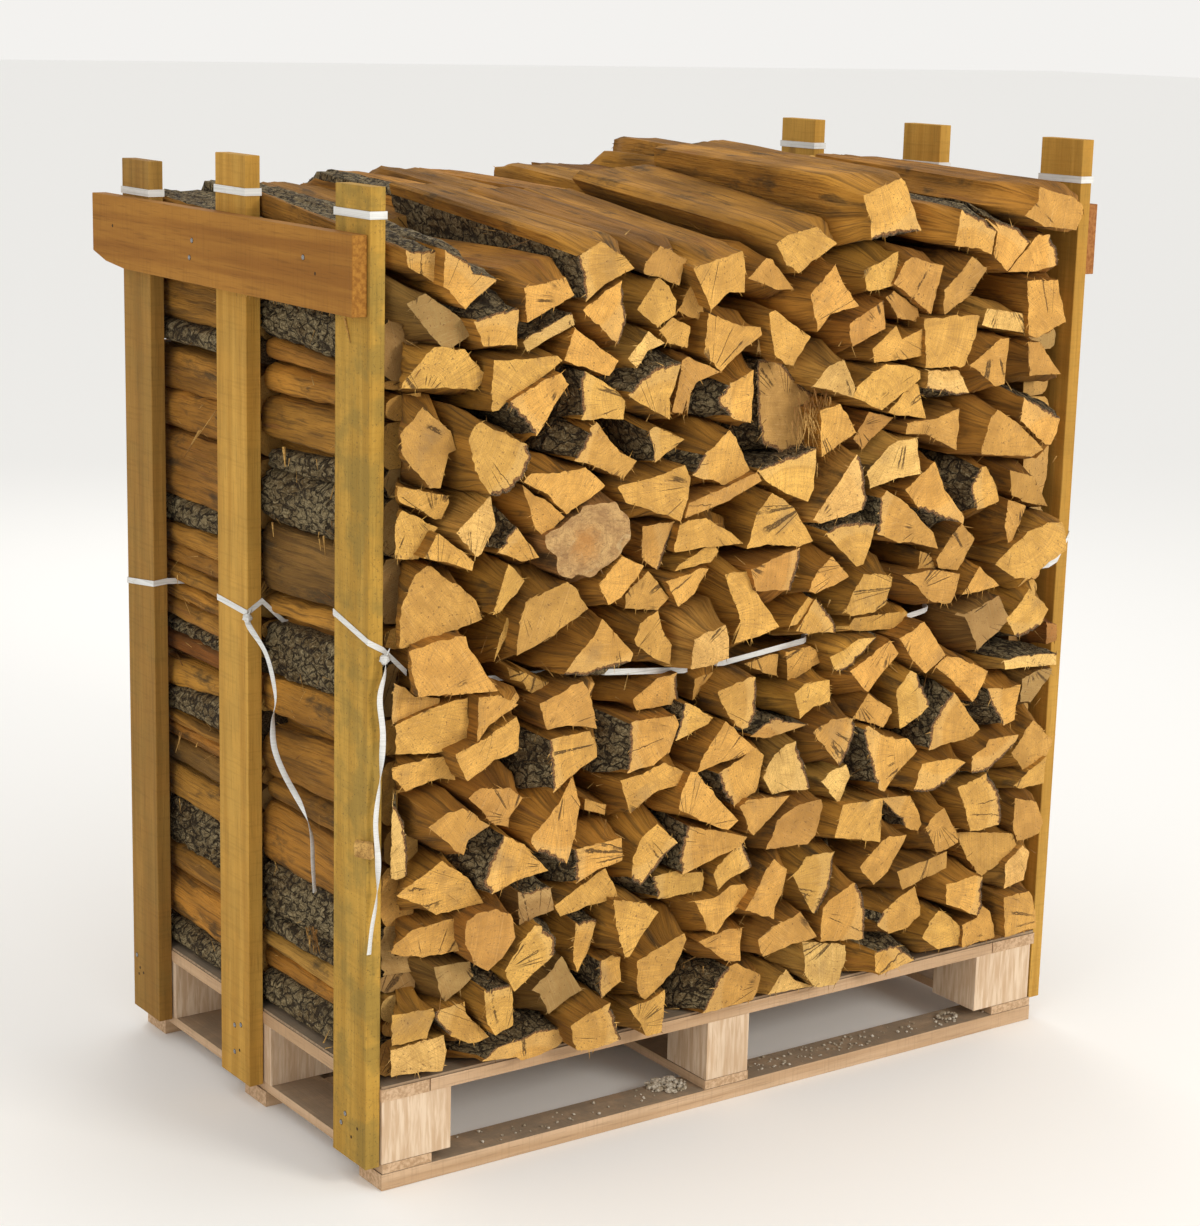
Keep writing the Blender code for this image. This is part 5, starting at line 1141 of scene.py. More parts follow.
def shape_log(bm, layers, centre, size, y_in, y_out, number, end_verts, log, rng):
    """Swelling behind the end, ridges and lumps, a slight bend and turn, and an end cut askew."""
    lean_x, lean_z = rng.uniform(-0.008, 0.008), rng.uniform(-0.005, 0.005)
    turn = rng.uniform(-0.07, 0.07)
    cut_x, cut_z = rng.uniform(-0.10, 0.10), rng.uniform(-0.09, 0.09)
    ridge = 0.0014 + 0.014 * size
    if log["tint"] == "knot":
        ridge *= 3.2
    if log["roofless"] and centre[1] > TOP_COURSE:
        rise = 0.022 if centre[0] > 0.05 else 0.050
        lean_z = rise * rng.uniform(0.7, 1.2) if log["front"] else rng.uniform(-0.030, -0.010)
    for vert in bm.verts:
        x, y, z = vert.co
        s, bark = vert[layers["turn"]], vert[layers["rim"]]
        depth = (y - y_out) / (y_in - y_out)
        behind = min(1.0, abs(y - y_out) / swell_length(x, z, y_out))
        swell = 1 + (vert[layers["swell"]] - 1) * behind * behind * (3 - 2 * behind)
        x = centre[0] + (x - centre[0]) * swell
        z = centre[1] + (z - centre[1]) * swell
        out = Vector((x - centre[0], z - centre[1]))
        out = out.normalized() if out.length > 1e-6 else Vector((0.0, 0.0))
        broad = noise.noise(Vector((x * 48 + number, y * 3.0, z * 48)))
        tear = noise.noise(Vector((s * 95 + number, y * 5.0, number)))
        jag = noise.noise(Vector((s * 240, y * 11.0, number * 2)))
        groove = abs(noise.noise(Vector((s * 62 + number, y * 17.0, 3.0))))
        lump = noise.noise(Vector((s * 45, y * 30.0, number)))
        split_push = ridge * broad + 0.0016 * tear + 0.0011 * jag
        bark_push = 0.0024 * lump + 0.0010 * jag - 0.0034 * max(0.0, 1 - groove / 0.16)
        push = split_push * (1 - bark) + bark_push * bark - 0.0012
        x += out.x * push
        z += out.y * push
        dx, dz = x - centre[0], z - centre[1]
        swing = turn * depth
        x = centre[0] + dx * math.cos(swing) - dz * math.sin(swing) + lean_x * depth
        z = centre[1] + dx * math.sin(swing) + dz * math.cos(swing) + lean_z * depth
        if vert in end_verts:
            y += cut_x * (x - centre[0]) + cut_z * (z - centre[1]) + 0.0009 * jag
        wall = STACK_SIDE - 0.0008 - 0.0040 * abs(tear) - 0.0040 * abs(lump)
        room = WALL_ROOM * min(1.0, abs(y - y_out) / 0.045) if z < 1.17 else 0.0
        x = max(-wall + room, min(wall - room, x))
        z = max(DECK_TOP + 0.0006, z)
        vert.co = (x, y, z)


def swell_length(x, z, y_out):
    """Logs swell slowly behind their ends, but at once where they hide the twine."""
    if y_out > 0 or abs(z - along(FRONT_TWINE, x)) > TWINE_ZONE:
        return SLOW_SWELL
    hidden = not any(low < x < high for low, high in VISIBLE_TWINE)
    return QUICK_SWELL if hidden else SLOW_SWELL


def add_fringe(bm, layers, end_verts, sign, rng):
    """Torn fibres that stand out from the sawn rim."""
    rim = sorted((vert for vert in end_verts), key=lambda vert: vert.index)
    for _ in range(rng.randint(5, 16)):
        root = rim[rng.randrange(len(rim))]
        length = rng.uniform(0.003, 0.011) * rng.choice((1.0, 1.0, 1.7))
        way = Vector((root.normal.x + rng.uniform(-0.7, 0.7), sign * rng.uniform(-0.7, 0.5),
                      root.normal.z - 0.5 + rng.uniform(-0.7, 0.5))).normalized()
        turned = way.to_track_quat("Z", "Y").to_matrix().to_4x4()
        place = Matrix.Translation(root.co + way * length * 0.35)
        made = bmesh.ops.create_cone(bm, segments=3, radius1=rng.uniform(0.0004, 0.0010), radius2=0.0,
                                     depth=length, cap_ends=True, matrix=place @ turned)
        for vert in made["verts"]:
            vert[layers["turn"]] = rng.uniform(0.0, 0.1)


def paint_log(bm, layers, inner, heart, outer, around, number, log, rng):
    tint = TINTS[log["tint"]]
    shade = rng.uniform(0.86, 1.12)
    warm = rng.uniform(0.95, 1.06)
    for vert in bm.verts:
        vert[layers["number"]] = number
        vert[layers["outer"]] = outer
        vert[layers["tint"]] = (tint[0] * shade, tint[1] * shade / warm, tint[2] * shade / warm, 1.0)
    for face in bm.faces:
        corners = list(face.verts)
        on_end = abs(face.normal.y) > 0.75
        bark = sum(vert[layers["rim"]] for vert in corners) / len(corners) > 0.6
        if not on_end:
            face.material_index = 2 if bark else 1
        elif log["tint"] == "knot":
            face.material_index = 3
        turns = [vert[layers["turn"]] for vert in corners]
        wraps = max(turns) - min(turns) > around / 2
        for loop in face.loops:
            x, y, z = loop.vert.co
            if on_end:
                loop[layers["uv"]].uv = (x - heart[0], z - heart[1])
            else:
                turn = loop.vert[layers["turn"]]
                loop[layers["uv"]].uv = (turn + around if wraps and turn < around / 2 else turn, y)
        face.smooth = not on_end
    for vert in inner:
        vert[layers["rim"]] = 0.0


# %% [markdown]
# ## Logs along the sides
# Between the posts the outermost logs show their whole length. Each line gives the lowest
# and highest edge (mm) of a log at its inner end and then at its outer end, its surface
# (0 split, 1 grooved bark, 2 plated bark), its tint, and how far it lies back from the
# side (mm). The left side is read from the photograph and the right side repeats it. These
# logs are built apart from the others, because here the long side is what shows.

# %% Left side, read log by log from the top down
FRONT_SIDE = (
    (1116, 1178, 1094, 1176, 2, "grey", 0), (1082, 1116, 1080, 1096, 0, "tan", 4),
    (1036, 1080, 1042, 1079, 0, "honey", 5), (974, 1034, 978, 1041, 0, "honey", 0),
    (930, 962, 940, 980, 2, "grey", 9), (858, 934, 862, 942, 2, "grey", 1),
    (762, 858, 776, 864, 0, "grey", 1), (726, 756, 742, 775, 0, "honey", 3),
    (640, 716, 652, 724, 2, "grey", 4), (586, 640, 597, 650, 0, "honey", 1),
    (489, 566, 502, 590, 0, "honey", 2), (456, 492, 446, 502, 0, "tan", 6),
    (366, 456, 364, 447, 0, "honey", 1), (290, 368, 296, 366, 2, "grey", 3),
    (258, 292, 266, 298, 1, "grey", 8), (236, 262, 228, 268, 0, "pale", 1),
    (200, 240, 204, 234, 0, "honey", 6), (150, 204, 151, 206, 1, "tan", 2),
)
BACK_SIDE = (
    (1106, 1178, 1108, 1178, 0, "tan", 2), (1072, 1108, 1074, 1110, 1, "grey", 0),
    (1000, 1064, 1004, 1070, 0, "tan", 2), (944, 1004, 946, 1004, 0, "honey", 1),
    (842, 944, 848, 946, 0, "tan", 1), (806, 846, 802, 850, 2, "grey", 4),
    (772, 812, 776, 806, 0, "honey", 1), (742, 774, 746, 780, 0, "tan", 4),
    (714, 744, 718, 748, 0, "honey", 2), (684, 716, 690, 718, 0, "honey", 6),
    (655, 688, 662, 692, 0, "tan", 3), (634, 660, 640, 664, 2, "grey", 7),
    (604, 640, 612, 644, 0, "rust", 5), (582, 610, 552, 600, 0, "honey", 1),
    (520, 584, 518, 556, 1, "grey", 4), (498, 524, 500, 522, 0, "tan", 1),
    (470, 502, 476, 504, 0, "tan", 5), (432, 474, 438, 480, 0, "grey", 3),
    (380, 434, 386, 440, 0, "honey", 1), (304, 384, 310, 390, 2, "grey", 4),
    (262, 308, 266, 312, 0, "tan", 2), (186, 264, 192, 268, 0, "honey", 1),
    (150, 190, 151, 194, 1, "grey", 2),
)
print("side logs read", len(FRONT_SIDE), "and", len(BACK_SIDE))

# %% One long log against the posts
WALL_STEP = 0.008
WALL_DEPTH = 0.058
WALL_POINT = 0.005
SIDE_LOG_X = 0.57


def wall_log(spec, front_row, side, rng):
    """One long log that lies against the posts and shows its side."""
    low_in, high_in, low_out, high_out = (v / 1000 for v in spec[:4])
    barked, tint, back = spec[4:]
    sign, far = (-1.0, (0.326, 0.336)) if front_row else (1.0, (0.350, 0.357))
    y_in, y_out = sign * rng.uniform(0.004, 0.012), sign * rng.uniform(*far)
    face_x = -(STACK_SIDE - 0.0012 - back / 1000)
    tall = 0.5 * (high_in - low_in + high_out - low_out)
    bulge = rng.uniform(0.10, 0.30)
    section = []
    count = max(8, round(tall / WALL_POINT))
    for i in range(count):
        t = i / (count - 1)
        section.append((face_x + WALL_DEPTH * bulge * (2 * t - 1) ** 4, 1 - t, 1.0))
    section += [(face_x + WALL_DEPTH, -0.05, 0.0), (face_x + WALL_DEPTH, 1.05, 0.0)]
    bm = bmesh.new()
    layers = log_layers(bm)
    number = rng.uniform(0.0, 90.0)
    distance = 0.0
    for x, share, outer in section:
        vert = bm.verts.new((x, y_in, share))
        vert[layers["turn"]] = distance
        vert[layers["rim"]] = 1.0 if barked else 0.0
        vert[layers["swell"]] = outer
        distance += tall / len(section) if outer else WALL_DEPTH
    cap = bmesh.ops.contextual_create(bm, geom=list(bm.verts))["faces"][0]
    steps = round(abs(y_out - y_in) / WALL_STEP)
    for i in range(steps):
        cap, moved = drawn_out(bm, cap, i == 0)
        bmesh.ops.translate(bm, vec=(0.0, (y_out - y_in) / steps, 0.0), verts=moved)
    sway = rng.uniform(-0.003, 0.003)
    for vert in bm.verts:
        x, y, share = vert.co
        depth = (y - y_in) / (y_out - y_in)
        low = low_in + (low_out - low_in) * depth
        high = high_in + (high_out - high_in) * depth
        low += 0.0030 * noise.noise(Vector((y * 22, number, 0.0))) + 0.0012
        high += 0.0030 * noise.noise(Vector((y * 22, number, 7.0))) - 0.0022 + sway * math.sin(depth * 3.1)
        z = low + (high - low) * share
        push = 0.0
        if vert[layers["swell"]] > 0.5:
            push = wall_relief(vert[layers["turn"]], y, number, barked)
        vert.co = (max(-STACK_SIDE + 0.0006, x + push), y, max(DECK_TOP + 0.0006, z))
        vert.co.x *= -side
    bmesh.ops.recalc_face_normals(bm, faces=bm.faces)
    log = {"tint": tint, "bark": "all" if barked else ""}
    paint_log(bm, layers, set(cap.verts), (face_x, low_in), 1.0, distance, number, log, rng)
    return as_mesh(bm, "one_log")


def wall_relief(s, y, number, barked):
    """How far the log's side lies back at this place: plates of bark, or torn fibres."""
    if barked == 2:
        spread = noise.voronoi(Vector((s * 78 + number, y * 46, number)))[0]
        plate = min(1.0, (spread[1] - spread[0]) * 2.6)
        lump = noise.noise(Vector((s * 30, y * 24, number)))
        return 0.0070 * (1 - plate) + 0.0030 * (0.6 + lump)
    if barked:
        groove = abs(noise.noise(Vector((s * 70 + number, y * 22, 3.0))))
        lump = noise.noise(Vector((s * 90, y * 60, number)))
        return 0.0034 * max(0.0, 1 - groove / 0.2) + 0.0012 * (1 + lump)
    tear = noise.noise(Vector((s * 95 + number, y * 6.0, number)))
    broad = noise.noise(Vector((s * 30 + number, y * 7.0, 5.0)))
    fine = noise.noise(Vector((s * 260, y * 14.0, number)))
    return 0.0022 * (1 + tear) + 0.0036 * (1 + broad) + 0.0008 * (1 + fine)


def side_group(spec, front_row, side):
    """The group of logs that a long side log is built into."""
    return group_at(SIDE_LOG_X * side, (spec[2] + spec[3]) / 2000, front_row)


# %% Build every group of logs and let it stand for its CAD group
def build_group(name, logs, rng):
    bm = bmesh.new()
    made = [add_log(log, rng) for log in logs]
    for table, front_row, side in ((FRONT_SIDE, True, -1), (BACK_SIDE, False, -1),
                                   (BACK_SIDE, True, 1), (FRONT_SIDE, False, 1)):
        made += [wall_log(spec, front_row, side, rng) for spec in table
                 if side_group(spec, front_row, side) == name]
    for one in made:
        bm.from_mesh(one)
        bpy.data.meshes.remove(one)
    mesh = as_mesh(bm, f"logs_{name}", end_mat, side_mat, bark_mat, knot_mat)
    mesh.set_sharp_from_angle(angle=math.radians(48))
    obj = link(bpy.data.objects.new(f"logs_{name}", mesh))
    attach(obj, "root")
    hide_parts(f"firewood_{name}")
    return obj


rng = random.Random(11)
log_pieces = []
for group in sorted({log["group"] for log in rows}):
    members = [log for log in rows if log["group"] == group]
    log_pieces.append(build_group(group, members, rng))
print("log pieces", len(log_pieces), "faces", sum(len(obj.data.polygons) for obj in log_pieces))

# %% [markdown]
# ## Sawn boards
# Every board has one recipe: fibres stretched along its own length, broad growth bands,
# fine saw marks across, dark flecks, and end grain where the surface faces along the board.
# The boards differ only in direction, tone and dirt, so one function with those three
# choices makes them all.

# %% Board material
def board_material(name, axis, light, dark, dust=0.0, green=0.0, knots=0.0, seed=0.0):
    r = Recipe(name)
    place = r.coords()
    long_scale = [1.0, 1.0, 1.0]
    long_scale[axis] = 0.035
    stretched = r.stretch(place, tuple(long_scale), (seed, seed * 1.7, seed * 0.6))
    fibres = r.noise(stretched, 420.0, 4.0, 0.6)
    bands = r.noise(stretched, 46.0, 3.0, 0.5, 0.6)
    broad = r.noise(r.stretch(place, (1.0, 1.0, 1.0), (seed, 0.0, seed)), 6.0, 3.0)
    saw_scale = [14.0, 14.0, 14.0]
    saw_scale[axis] = 260.0
    saw = r.noise(r.stretch(place, tuple(saw_scale)), 1.0, 2.0, 0.5)
    color = r.mix(r.band(bands, 0.32, 0.68), light, dark)
    color = r.over(color, r.band(fibres, 0.50, 0.72), 0.40, tuple(0.45 * c for c in dark))
    color = r.over(color, r.band(broad, 0.35, 0.70), 0.25, tuple(0.70 * c for c in dark))
    color = r.over(color, r.band(saw, 0.52, 0.66), 0.16, tuple(0.55 * c for c in dark))
    if knots > 0:
        knot_scale = [9.0, 9.0, 9.0]
        knot_scale[axis] = 3.2
        spot = r.cells(r.stretch(place, tuple(knot_scale), (seed * 3.1, seed, 0.4)), 1.0, "F1")
        color = r.over(color, r.fade(spot, 0.060, 0.130), knots, (0.16, 0.062, 0.020))
    if green > 0:
        moss = r.noise(place, 16.0, 4.0, 0.6)
        fleck = r.noise(place, 260.0, 3.0, 0.7)
        color = r.over(color, r.band(moss, 0.42, 0.60), green, (0.17, 0.135, 0.035))
        color = r.over(color, r.band(fleck, 0.58, 0.68), green, (0.050, 0.040, 0.020))
    facing = r.parts(r.normal())
    end = r.band(r.math("ABSOLUTE", facing[axis]), 0.75, 0.90)
    end_color = r.mix(r.band(r.noise(place, 210.0, 3.0), 0.35, 0.65), tuple(0.98 * c for c in light),
                      tuple(0.90 * c for c in dark))
    color = r.mix(end, color, end_color)
    if dust > 0:
        upward_face = r.band(facing[2], 0.60, 0.85)
        grime = r.noise(place, 28.0, 5.0, 0.65)
        settled = r.times(upward_face, r.band(grime, 0.25, 0.60, 0.55, 1.0))
        color = r.over(color, settled, dust, (0.215, 0.170, 0.120))
    height = r.plus(r.times(fibres, 1.0), r.times(saw, 0.8))
    r.bump(height, 0.5, 0.0012)
    return r.finish(color, 0.87)


# %% Blocks: sawn across, so their growth shows as upright streaks on the front
def block_material():
    r = Recipe("block_wood")
    place = r.coords()
    streaks = r.noise(r.stretch(place, (1.0, 1.0, 0.10)), 150.0, 3.0, 0.55, 0.4)
    fine = r.noise(r.stretch(place, (1.0, 1.0, 0.05)), 520.0, 3.0, 0.6)
    broad = r.noise(place, 9.0, 2.0)
    color = r.mix(r.band(streaks, 0.34, 0.66), (0.72, 0.565, 0.405), (0.56, 0.390, 0.245))
    color = r.over(color, r.band(fine, 0.55, 0.75), 0.35, (0.36, 0.21, 0.11))
    color = r.over(color, r.band(broad, 0.45, 0.70), 0.25, (0.40, 0.26, 0.15))
    r.bump(r.plus(streaks, fine), 0.45, 0.0010)
    return r.finish(color, 0.88)


# %% White flat twine
def twine_material():
    r = Recipe("white_twine")
    place = r.coords()
    fibres = r.noise(r.stretch(place, (8.0, 8.0, 900.0)), 1.0, 3.0, 0.6)
    grime = r.noise(place, 60.0, 3.0)
    color = r.mix(r.band(fibres, 0.40, 0.70), (0.72, 0.72, 0.70), (0.54, 0.54, 0.51))
    color = r.over(color, r.band(grime, 0.50, 0.75), 0.35, (0.50, 0.47, 0.40))
    r.bump(fibres, 0.3, 0.0004)
    return r.finish(color, 0.42)


# %% Put the board, block and twine materials on the CAD nodes
X, Y, Z = 0, 1, 2
HONEY_LIGHT, HONEY_DARK = (0.58, 0.325, 0.062), (0.45, 0.232, 0.037)
PINK_LIGHT, PINK_DARK = (0.62, 0.430, 0.270), (0.47, 0.300, 0.165)
look = {
    "bottom_board": board_material("base_board", X, PINK_LIGHT, PINK_DARK, dust=0.85),
    "lower_runner": board_material("lower_runner_board", Y, PINK_LIGHT, PINK_DARK, dust=0.7, seed=1.3),
    "upper_runner": board_material("upper_runner_board", Y, PINK_LIGHT, PINK_DARK, dust=0.8, seed=2.1),
    "upper_board": board_material("upper_cross_board", X, PINK_LIGHT, PINK_DARK, dust=0.8, seed=3.4),
    "deck_sheet": board_material("deck", X, (0.42, 0.30, 0.19), (0.30, 0.20, 0.12), dust=0.9, seed=4.2),
    "block": block_material(),
    "post_left_front": board_material("weathered_post", Z, (0.54, 0.315, 0.055), (0.40, 0.220, 0.032),
                                      green=0.45, seed=5.5),
    "post": board_material("post_board", Z, HONEY_LIGHT, HONEY_DARK, green=0.12, knots=0.5, seed=6.1),
    "post_left_back": board_material("post_back_board", Z, (0.36, 0.190, 0.040), (0.26, 0.130, 0.024),
                                     green=0.15, knots=0.5, seed=8.8),
    "cross_board_left": board_material("cross_board_left_wood", Y, (0.38, 0.170, 0.026),
                                       (0.27, 0.108, 0.015), knots=0.8, seed=7.7),
    "cross_board_right": board_material("cross_board_right_wood", Y, (0.38, 0.160, 0.045),
                                        (0.29, 0.105, 0.026), knots=0.6, seed=8.3),
    "top_strap": twine_material(),
}
look["twine_loop"] = look["top_strap"]
look["twine_end"] = look["top_strap"]
for name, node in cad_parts.items():
    matches = [key for key in look if name.startswith(key)]
    if matches:
        mat = look[max(matches, key=len)]
        for slot_index in range(len(node.material_slots)):
            node.material_slots[slot_index].material = mat
print("dressed nodes", sum(any(n.startswith(k) for k in look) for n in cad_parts))

# %% [markdown]
# ## Loose ends of twine
# Two long ends of flat twine hang from the knots on the left posts and twist as they fall.
# Each is a curve with a flat section: its tilt gives the twist, where a mesh would need
# every corner worked out.

# %% Ribbon that twists along a route
FRONT_END_ROUTE = ((-0.603, -0.3655, 0.7400), (-0.604, -0.3690, 0.7250), (-0.612, -0.3690, 0.6900),
                   (-0.607, -0.3690, 0.6400), (-0.611, -0.3690, 0.5800), (-0.617, -0.3690, 0.5250),
                   (-0.613, -0.3690, 0.4700), (-0.615, -0.3690, 0.4200), (-0.622, -0.3690, 0.3800),
                   (-0.626, -0.3690, 0.3450))
MIDDLE_END_ROUTE = ((-0.6262, -0.0330, 0.7300), (-0.6275, -0.0400, 0.7200), (-0.6275, -0.0900, 0.6900),
                    (-0.6275, -0.1150, 0.6400), (-0.6275, -0.1080, 0.6000), (-0.6275, -0.1120, 0.5640),
                    (-0.6275, -0.1400, 0.5340), (-0.6275, -0.1900, 0.5000), (-0.6275, -0.2160, 0.4700),
                    (-0.6275, -0.2210, 0.4260), (-0.6275, -0.2260, 0.3890))
RIBBON_WIDTH = 0.0075
RIBBON_THICK = 0.0004


def smooth_route(points, count):
    """Even points along a smooth curve through the route points, and its length."""
    pts = [Vector(p) for p in points]
    ends = [pts[0] * 2 - pts[1]] + pts + [pts[-1] * 2 - pts[-2]]
    dense = []
    for a, b, c, d in zip(ends, ends[1:], ends[2:], ends[3:]):
        for i in range(24):
            t = i / 24
            dense.append(0.5 * (2 * b + (c - a) * t + (2 * a - 5 * b + 4 * c - d) * t ** 2
                                + (3 * b - a - 3 * c + d) * t ** 3))
    dense.append(pts[-1])
    total = sum((b - a).length for a, b in zip(dense, dense[1:]))
    even, walked, target = [dense[0]], 0.0, total / count
    for a, b in zip(dense, dense[1:]):
        step = (b - a).length
        while walked + step >= target * len(even) - 1e-9 and len(even) < count:
            even.append(a.lerp(b, (target * len(even) - walked) / step))
        walked += step
    even.append(dense[-1])
    return even, total


def ribbon(name, route, turns, start_turn=0.0):
    points, length = smooth_route(route, 56)
    curve = bpy.data.curves.new(name, "CURVE")
    curve.dimensions = "3D"
    curve.extrude = RIBBON_WIDTH / 2
    curve.bevel_depth = RIBBON_THICK / 2
    curve.bevel_resolution = 0
    spline = curve.splines.new("POLY")
    spline.points.add(len(points) - 1)
    for i, (point, place) in enumerate(zip(spline.points, points)):
        point.co = (*place, 1.0)
        share = i / (len(points) - 1)
        point.tilt = start_turn + turns * 2 * math.pi * share + 0.5 * math.sin(share * 17.0)
    curve.materials.append(look["top_strap"])
    return link(bpy.data.objects.new(name, curve)), length


for name, route, turns, start in (("loose_twine_front", FRONT_END_ROUTE, 1.25, 0.2),
                                  ("loose_twine_middle", MIDDLE_END_ROUTE, 1.0, 1.4)):
    cord, length = ribbon(name, route, turns, start)
    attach(cord, "root")
    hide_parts("twine_end_front" if "front" in name else "twine_end_middle")
    print(name, "length", round(length, 3))

# %% [markdown]
# ## Ties round the stack
# Three flat twines go round the stack and a pair of posts each. On the front the twine
# dips behind the log ends and comes out again only where the photograph shows it. They are
# thin bands of faces that follow the CAD's twine, made again here so that they can dip.

# %% Flat bands along a route
BAND_HEIGHT = 0.0085
BAND_THICK = 0.0008
DIP = 0.030
DIP_RAMP = 0.018
POST_OUT = 0.6236


def flat_band(name, path, closed, height=BAND_HEIGHT):
    """A ribbon on edge along a path of (x, y, z, roll) points."""
    bm = bmesh.new()
    lower, upper = [], []
    for x, y, z, roll in path:
        side = Vector((0.0, math.sin(roll), math.cos(roll))) * height / 2
        lower.append(bm.verts.new(Vector((x, y, z)) - side))
        upper.append(bm.verts.new(Vector((x, y, z)) + side))
    count = len(path)
    for i in range(count if closed else count - 1):
        j = (i + 1) % count
        bmesh.ops.contextual_create(bm, geom=[lower[i], lower[j], upper[j], upper[i]])
    bmesh.ops.recalc_face_normals(bm, faces=bm.faces)
    bmesh.ops.solidify(bm, geom=list(bm.faces), thickness=BAND_THICK)
    bmesh.ops.recalc_face_normals(bm, faces=bm.faces)
    return link(bpy.data.objects.new(name, as_mesh(bm, name, look["top_strap"])))


def dip_at(x):
    """How far the front twine lies behind the log ends at x."""
    nearest = min(max(low - x, x - high, 0.0) for low, high in VISIBLE_TWINE)
    share = min(1.0, nearest / DIP_RAMP)
    return DIP * share * share * (3 - 2 * share)


def straight(a, b, step=0.02):
    count = max(1, round((Vector(b) - Vector(a)).length / step))
    return [tuple(Vector(a).lerp(Vector(b), i / count)) for i in range(count)]


def tie(name, front_line, back_line, left_z, right_z):
    """A twine round the stack and a pair of posts; only the front one dips."""
    left_lo, left_hi = (corner[1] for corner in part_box(f"post_left_{name}"))
    right_lo, right_hi = (corner[1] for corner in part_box(f"post_right_{name}"))
    gap = 0.0012
    corners_front = [(-POST_OUT, left_lo - gap, left_z[0])]
    corners_front += [(x, left_lo - gap + (right_lo - left_lo) * (x + POST_OUT) / (2 * POST_OUT), z)
                      for x, z in front_line]
    corners_front += [(POST_OUT, right_lo - gap, right_z[0])]
    corners_back = [(POST_OUT, right_hi + gap, right_z[1])]
    corners_back += [(x, left_hi + gap + (right_hi - left_hi) * (x + POST_OUT) / (2 * POST_OUT), z)
                     for x, z in back_line[::-1]]
    corners_back += [(-POST_OUT, left_hi + gap, left_z[1])]
    corners = corners_front + corners_back
    path = []
    for a, b in zip(corners, corners[1:] + corners[:1]):
        for x, y, z in straight(a, b, 0.009):
            inward = dip_at(x) if name == "front" and y < 0 and abs(x) < 0.597 else 0.0
            roll = 0.5 * noise.noise(Vector((x * 6.0, y * 5.0, left_z[0]))) if abs(x) < 0.59 else 0.0
            path.append((x, y + inward, z, roll))
    band = flat_band(f"wrap_{name}", path, True)
    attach(band, "root")
    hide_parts(f"twine_loop_{name}")


tie("front", FRONT_TWINE, FRONT_TWINE, (0.7632, 0.7860), (0.790, 0.800))
tie("middle", FRONT_TWINE, BACK_TWINE, (0.7350, 0.7410), (0.770, 0.775))
tie("back", BACK_TWINE, BACK_TWINE, (0.7200, 0.7090), (0.755, 0.760))
print("ties rebuilt")

# %% [markdown]
# ## Small details
# Nails and nail holes, knots of twine, splinters, straw, a caught chip of wood and the
# pale gravel on the front bottom board. They are real shapes, small cones and lumps,
# because marks in the shading alone would look flat where they cross an edge. The nail
# holes and the dents round the nail heads are thin near-black discs: painted shade.

# %% Detail helpers
def metal_material():
    r = Recipe("nail_steel")
    place = r.coords()
    spots = r.noise(place, 900.0, 3.0)
    color = r.mix(r.band(spots, 0.40, 0.65), (0.34, 0.36, 0.37), (0.15, 0.12, 0.10))
    r.shader.inputs["Metallic"].default_value = 0.6
    r.bump(spots, 0.3, 0.0003)
    return r.finish(color, 0.5)


# Near-black wood for the nail holes and dents: painted shade.
def hole_shade_material():
    r = Recipe("nail_hole_shade")
    place = r.coords()
    spots = r.noise(place, 700.0, 3.0)
    return r.finish(r.mix(spots, (0.020, 0.012, 0.006), (0.10, 0.05, 0.02)), 0.95)


def splinter_material():
    r = Recipe("splinter_wood")
    place = r.coords()
    tone = r.noise(place, 21.0, 2.0)
    grain = r.noise(place, 380.0, 4.0, 0.7)
    color = r.mix(r.band(tone, 0.35, 0.65), (0.22, 0.100, 0.025), (0.66, 0.400, 0.120))
    color = r.over(color, r.band(grain, 0.45, 0.65), 0.55, (0.11, 0.05, 0.015))
    r.bump(grain, 0.5, 0.0006)
    return r.finish(color, 0.9)


def gravel_material():
    r = Recipe("pale_gravel")
    place = r.coords()
    tone = r.noise(place, 95.0, 3.0)
    grain = r.noise(place, 900.0, 3.0)
    color = r.mix(r.band(tone, 0.35, 0.65), (0.30, 0.24, 0.16), (0.62, 0.56, 0.46))
    color = r.over(color, r.band(grain, 0.5, 0.7), 0.4, (0.14, 0.10, 0.06))
    r.bump(grain, 0.5, 0.0006)
    return r.finish(color, 0.92)


def finish_piece(name, bm, mat, smooth=False):
    bmesh.ops.recalc_face_normals(bm, faces=bm.faces)
    for face in bm.faces:
        face.smooth = smooth
    mesh = as_mesh(bm, name, mat)
    obj = link(bpy.data.objects.new(name, mesh))
    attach(obj, "root")
    print(name, "faces", len(mesh.polygons))
    return obj


def facing(way):
    return Vector(way).to_track_quat("Z", "Y").to_matrix().to_4x4()


def sliver(bm, place, way, length, width, flat=0.45):
    """A thin pointed splinter of wood."""
    scale = Matrix.Diagonal((1.0, flat, 1.0, 1.0))
    bmesh.ops.create_cone(bm, segments=4, radius1=width / 2, radius2=width / 9, depth=length, cap_ends=True,
                          matrix=Matrix.Translation(place) @ facing(way) @ scale)


def pebble(bm, place, size, rng):
    """A small uneven lump."""
    made = bmesh.ops.create_icosphere(bm, subdivisions=1, radius=size / 2, matrix=Matrix.Translation(place))
    for vert in made["verts"]:
        out = vert.co - Vector(place)
        out.z *= 0.7
        vert.co = Vector(place) + out * rng.uniform(0.7, 1.25)


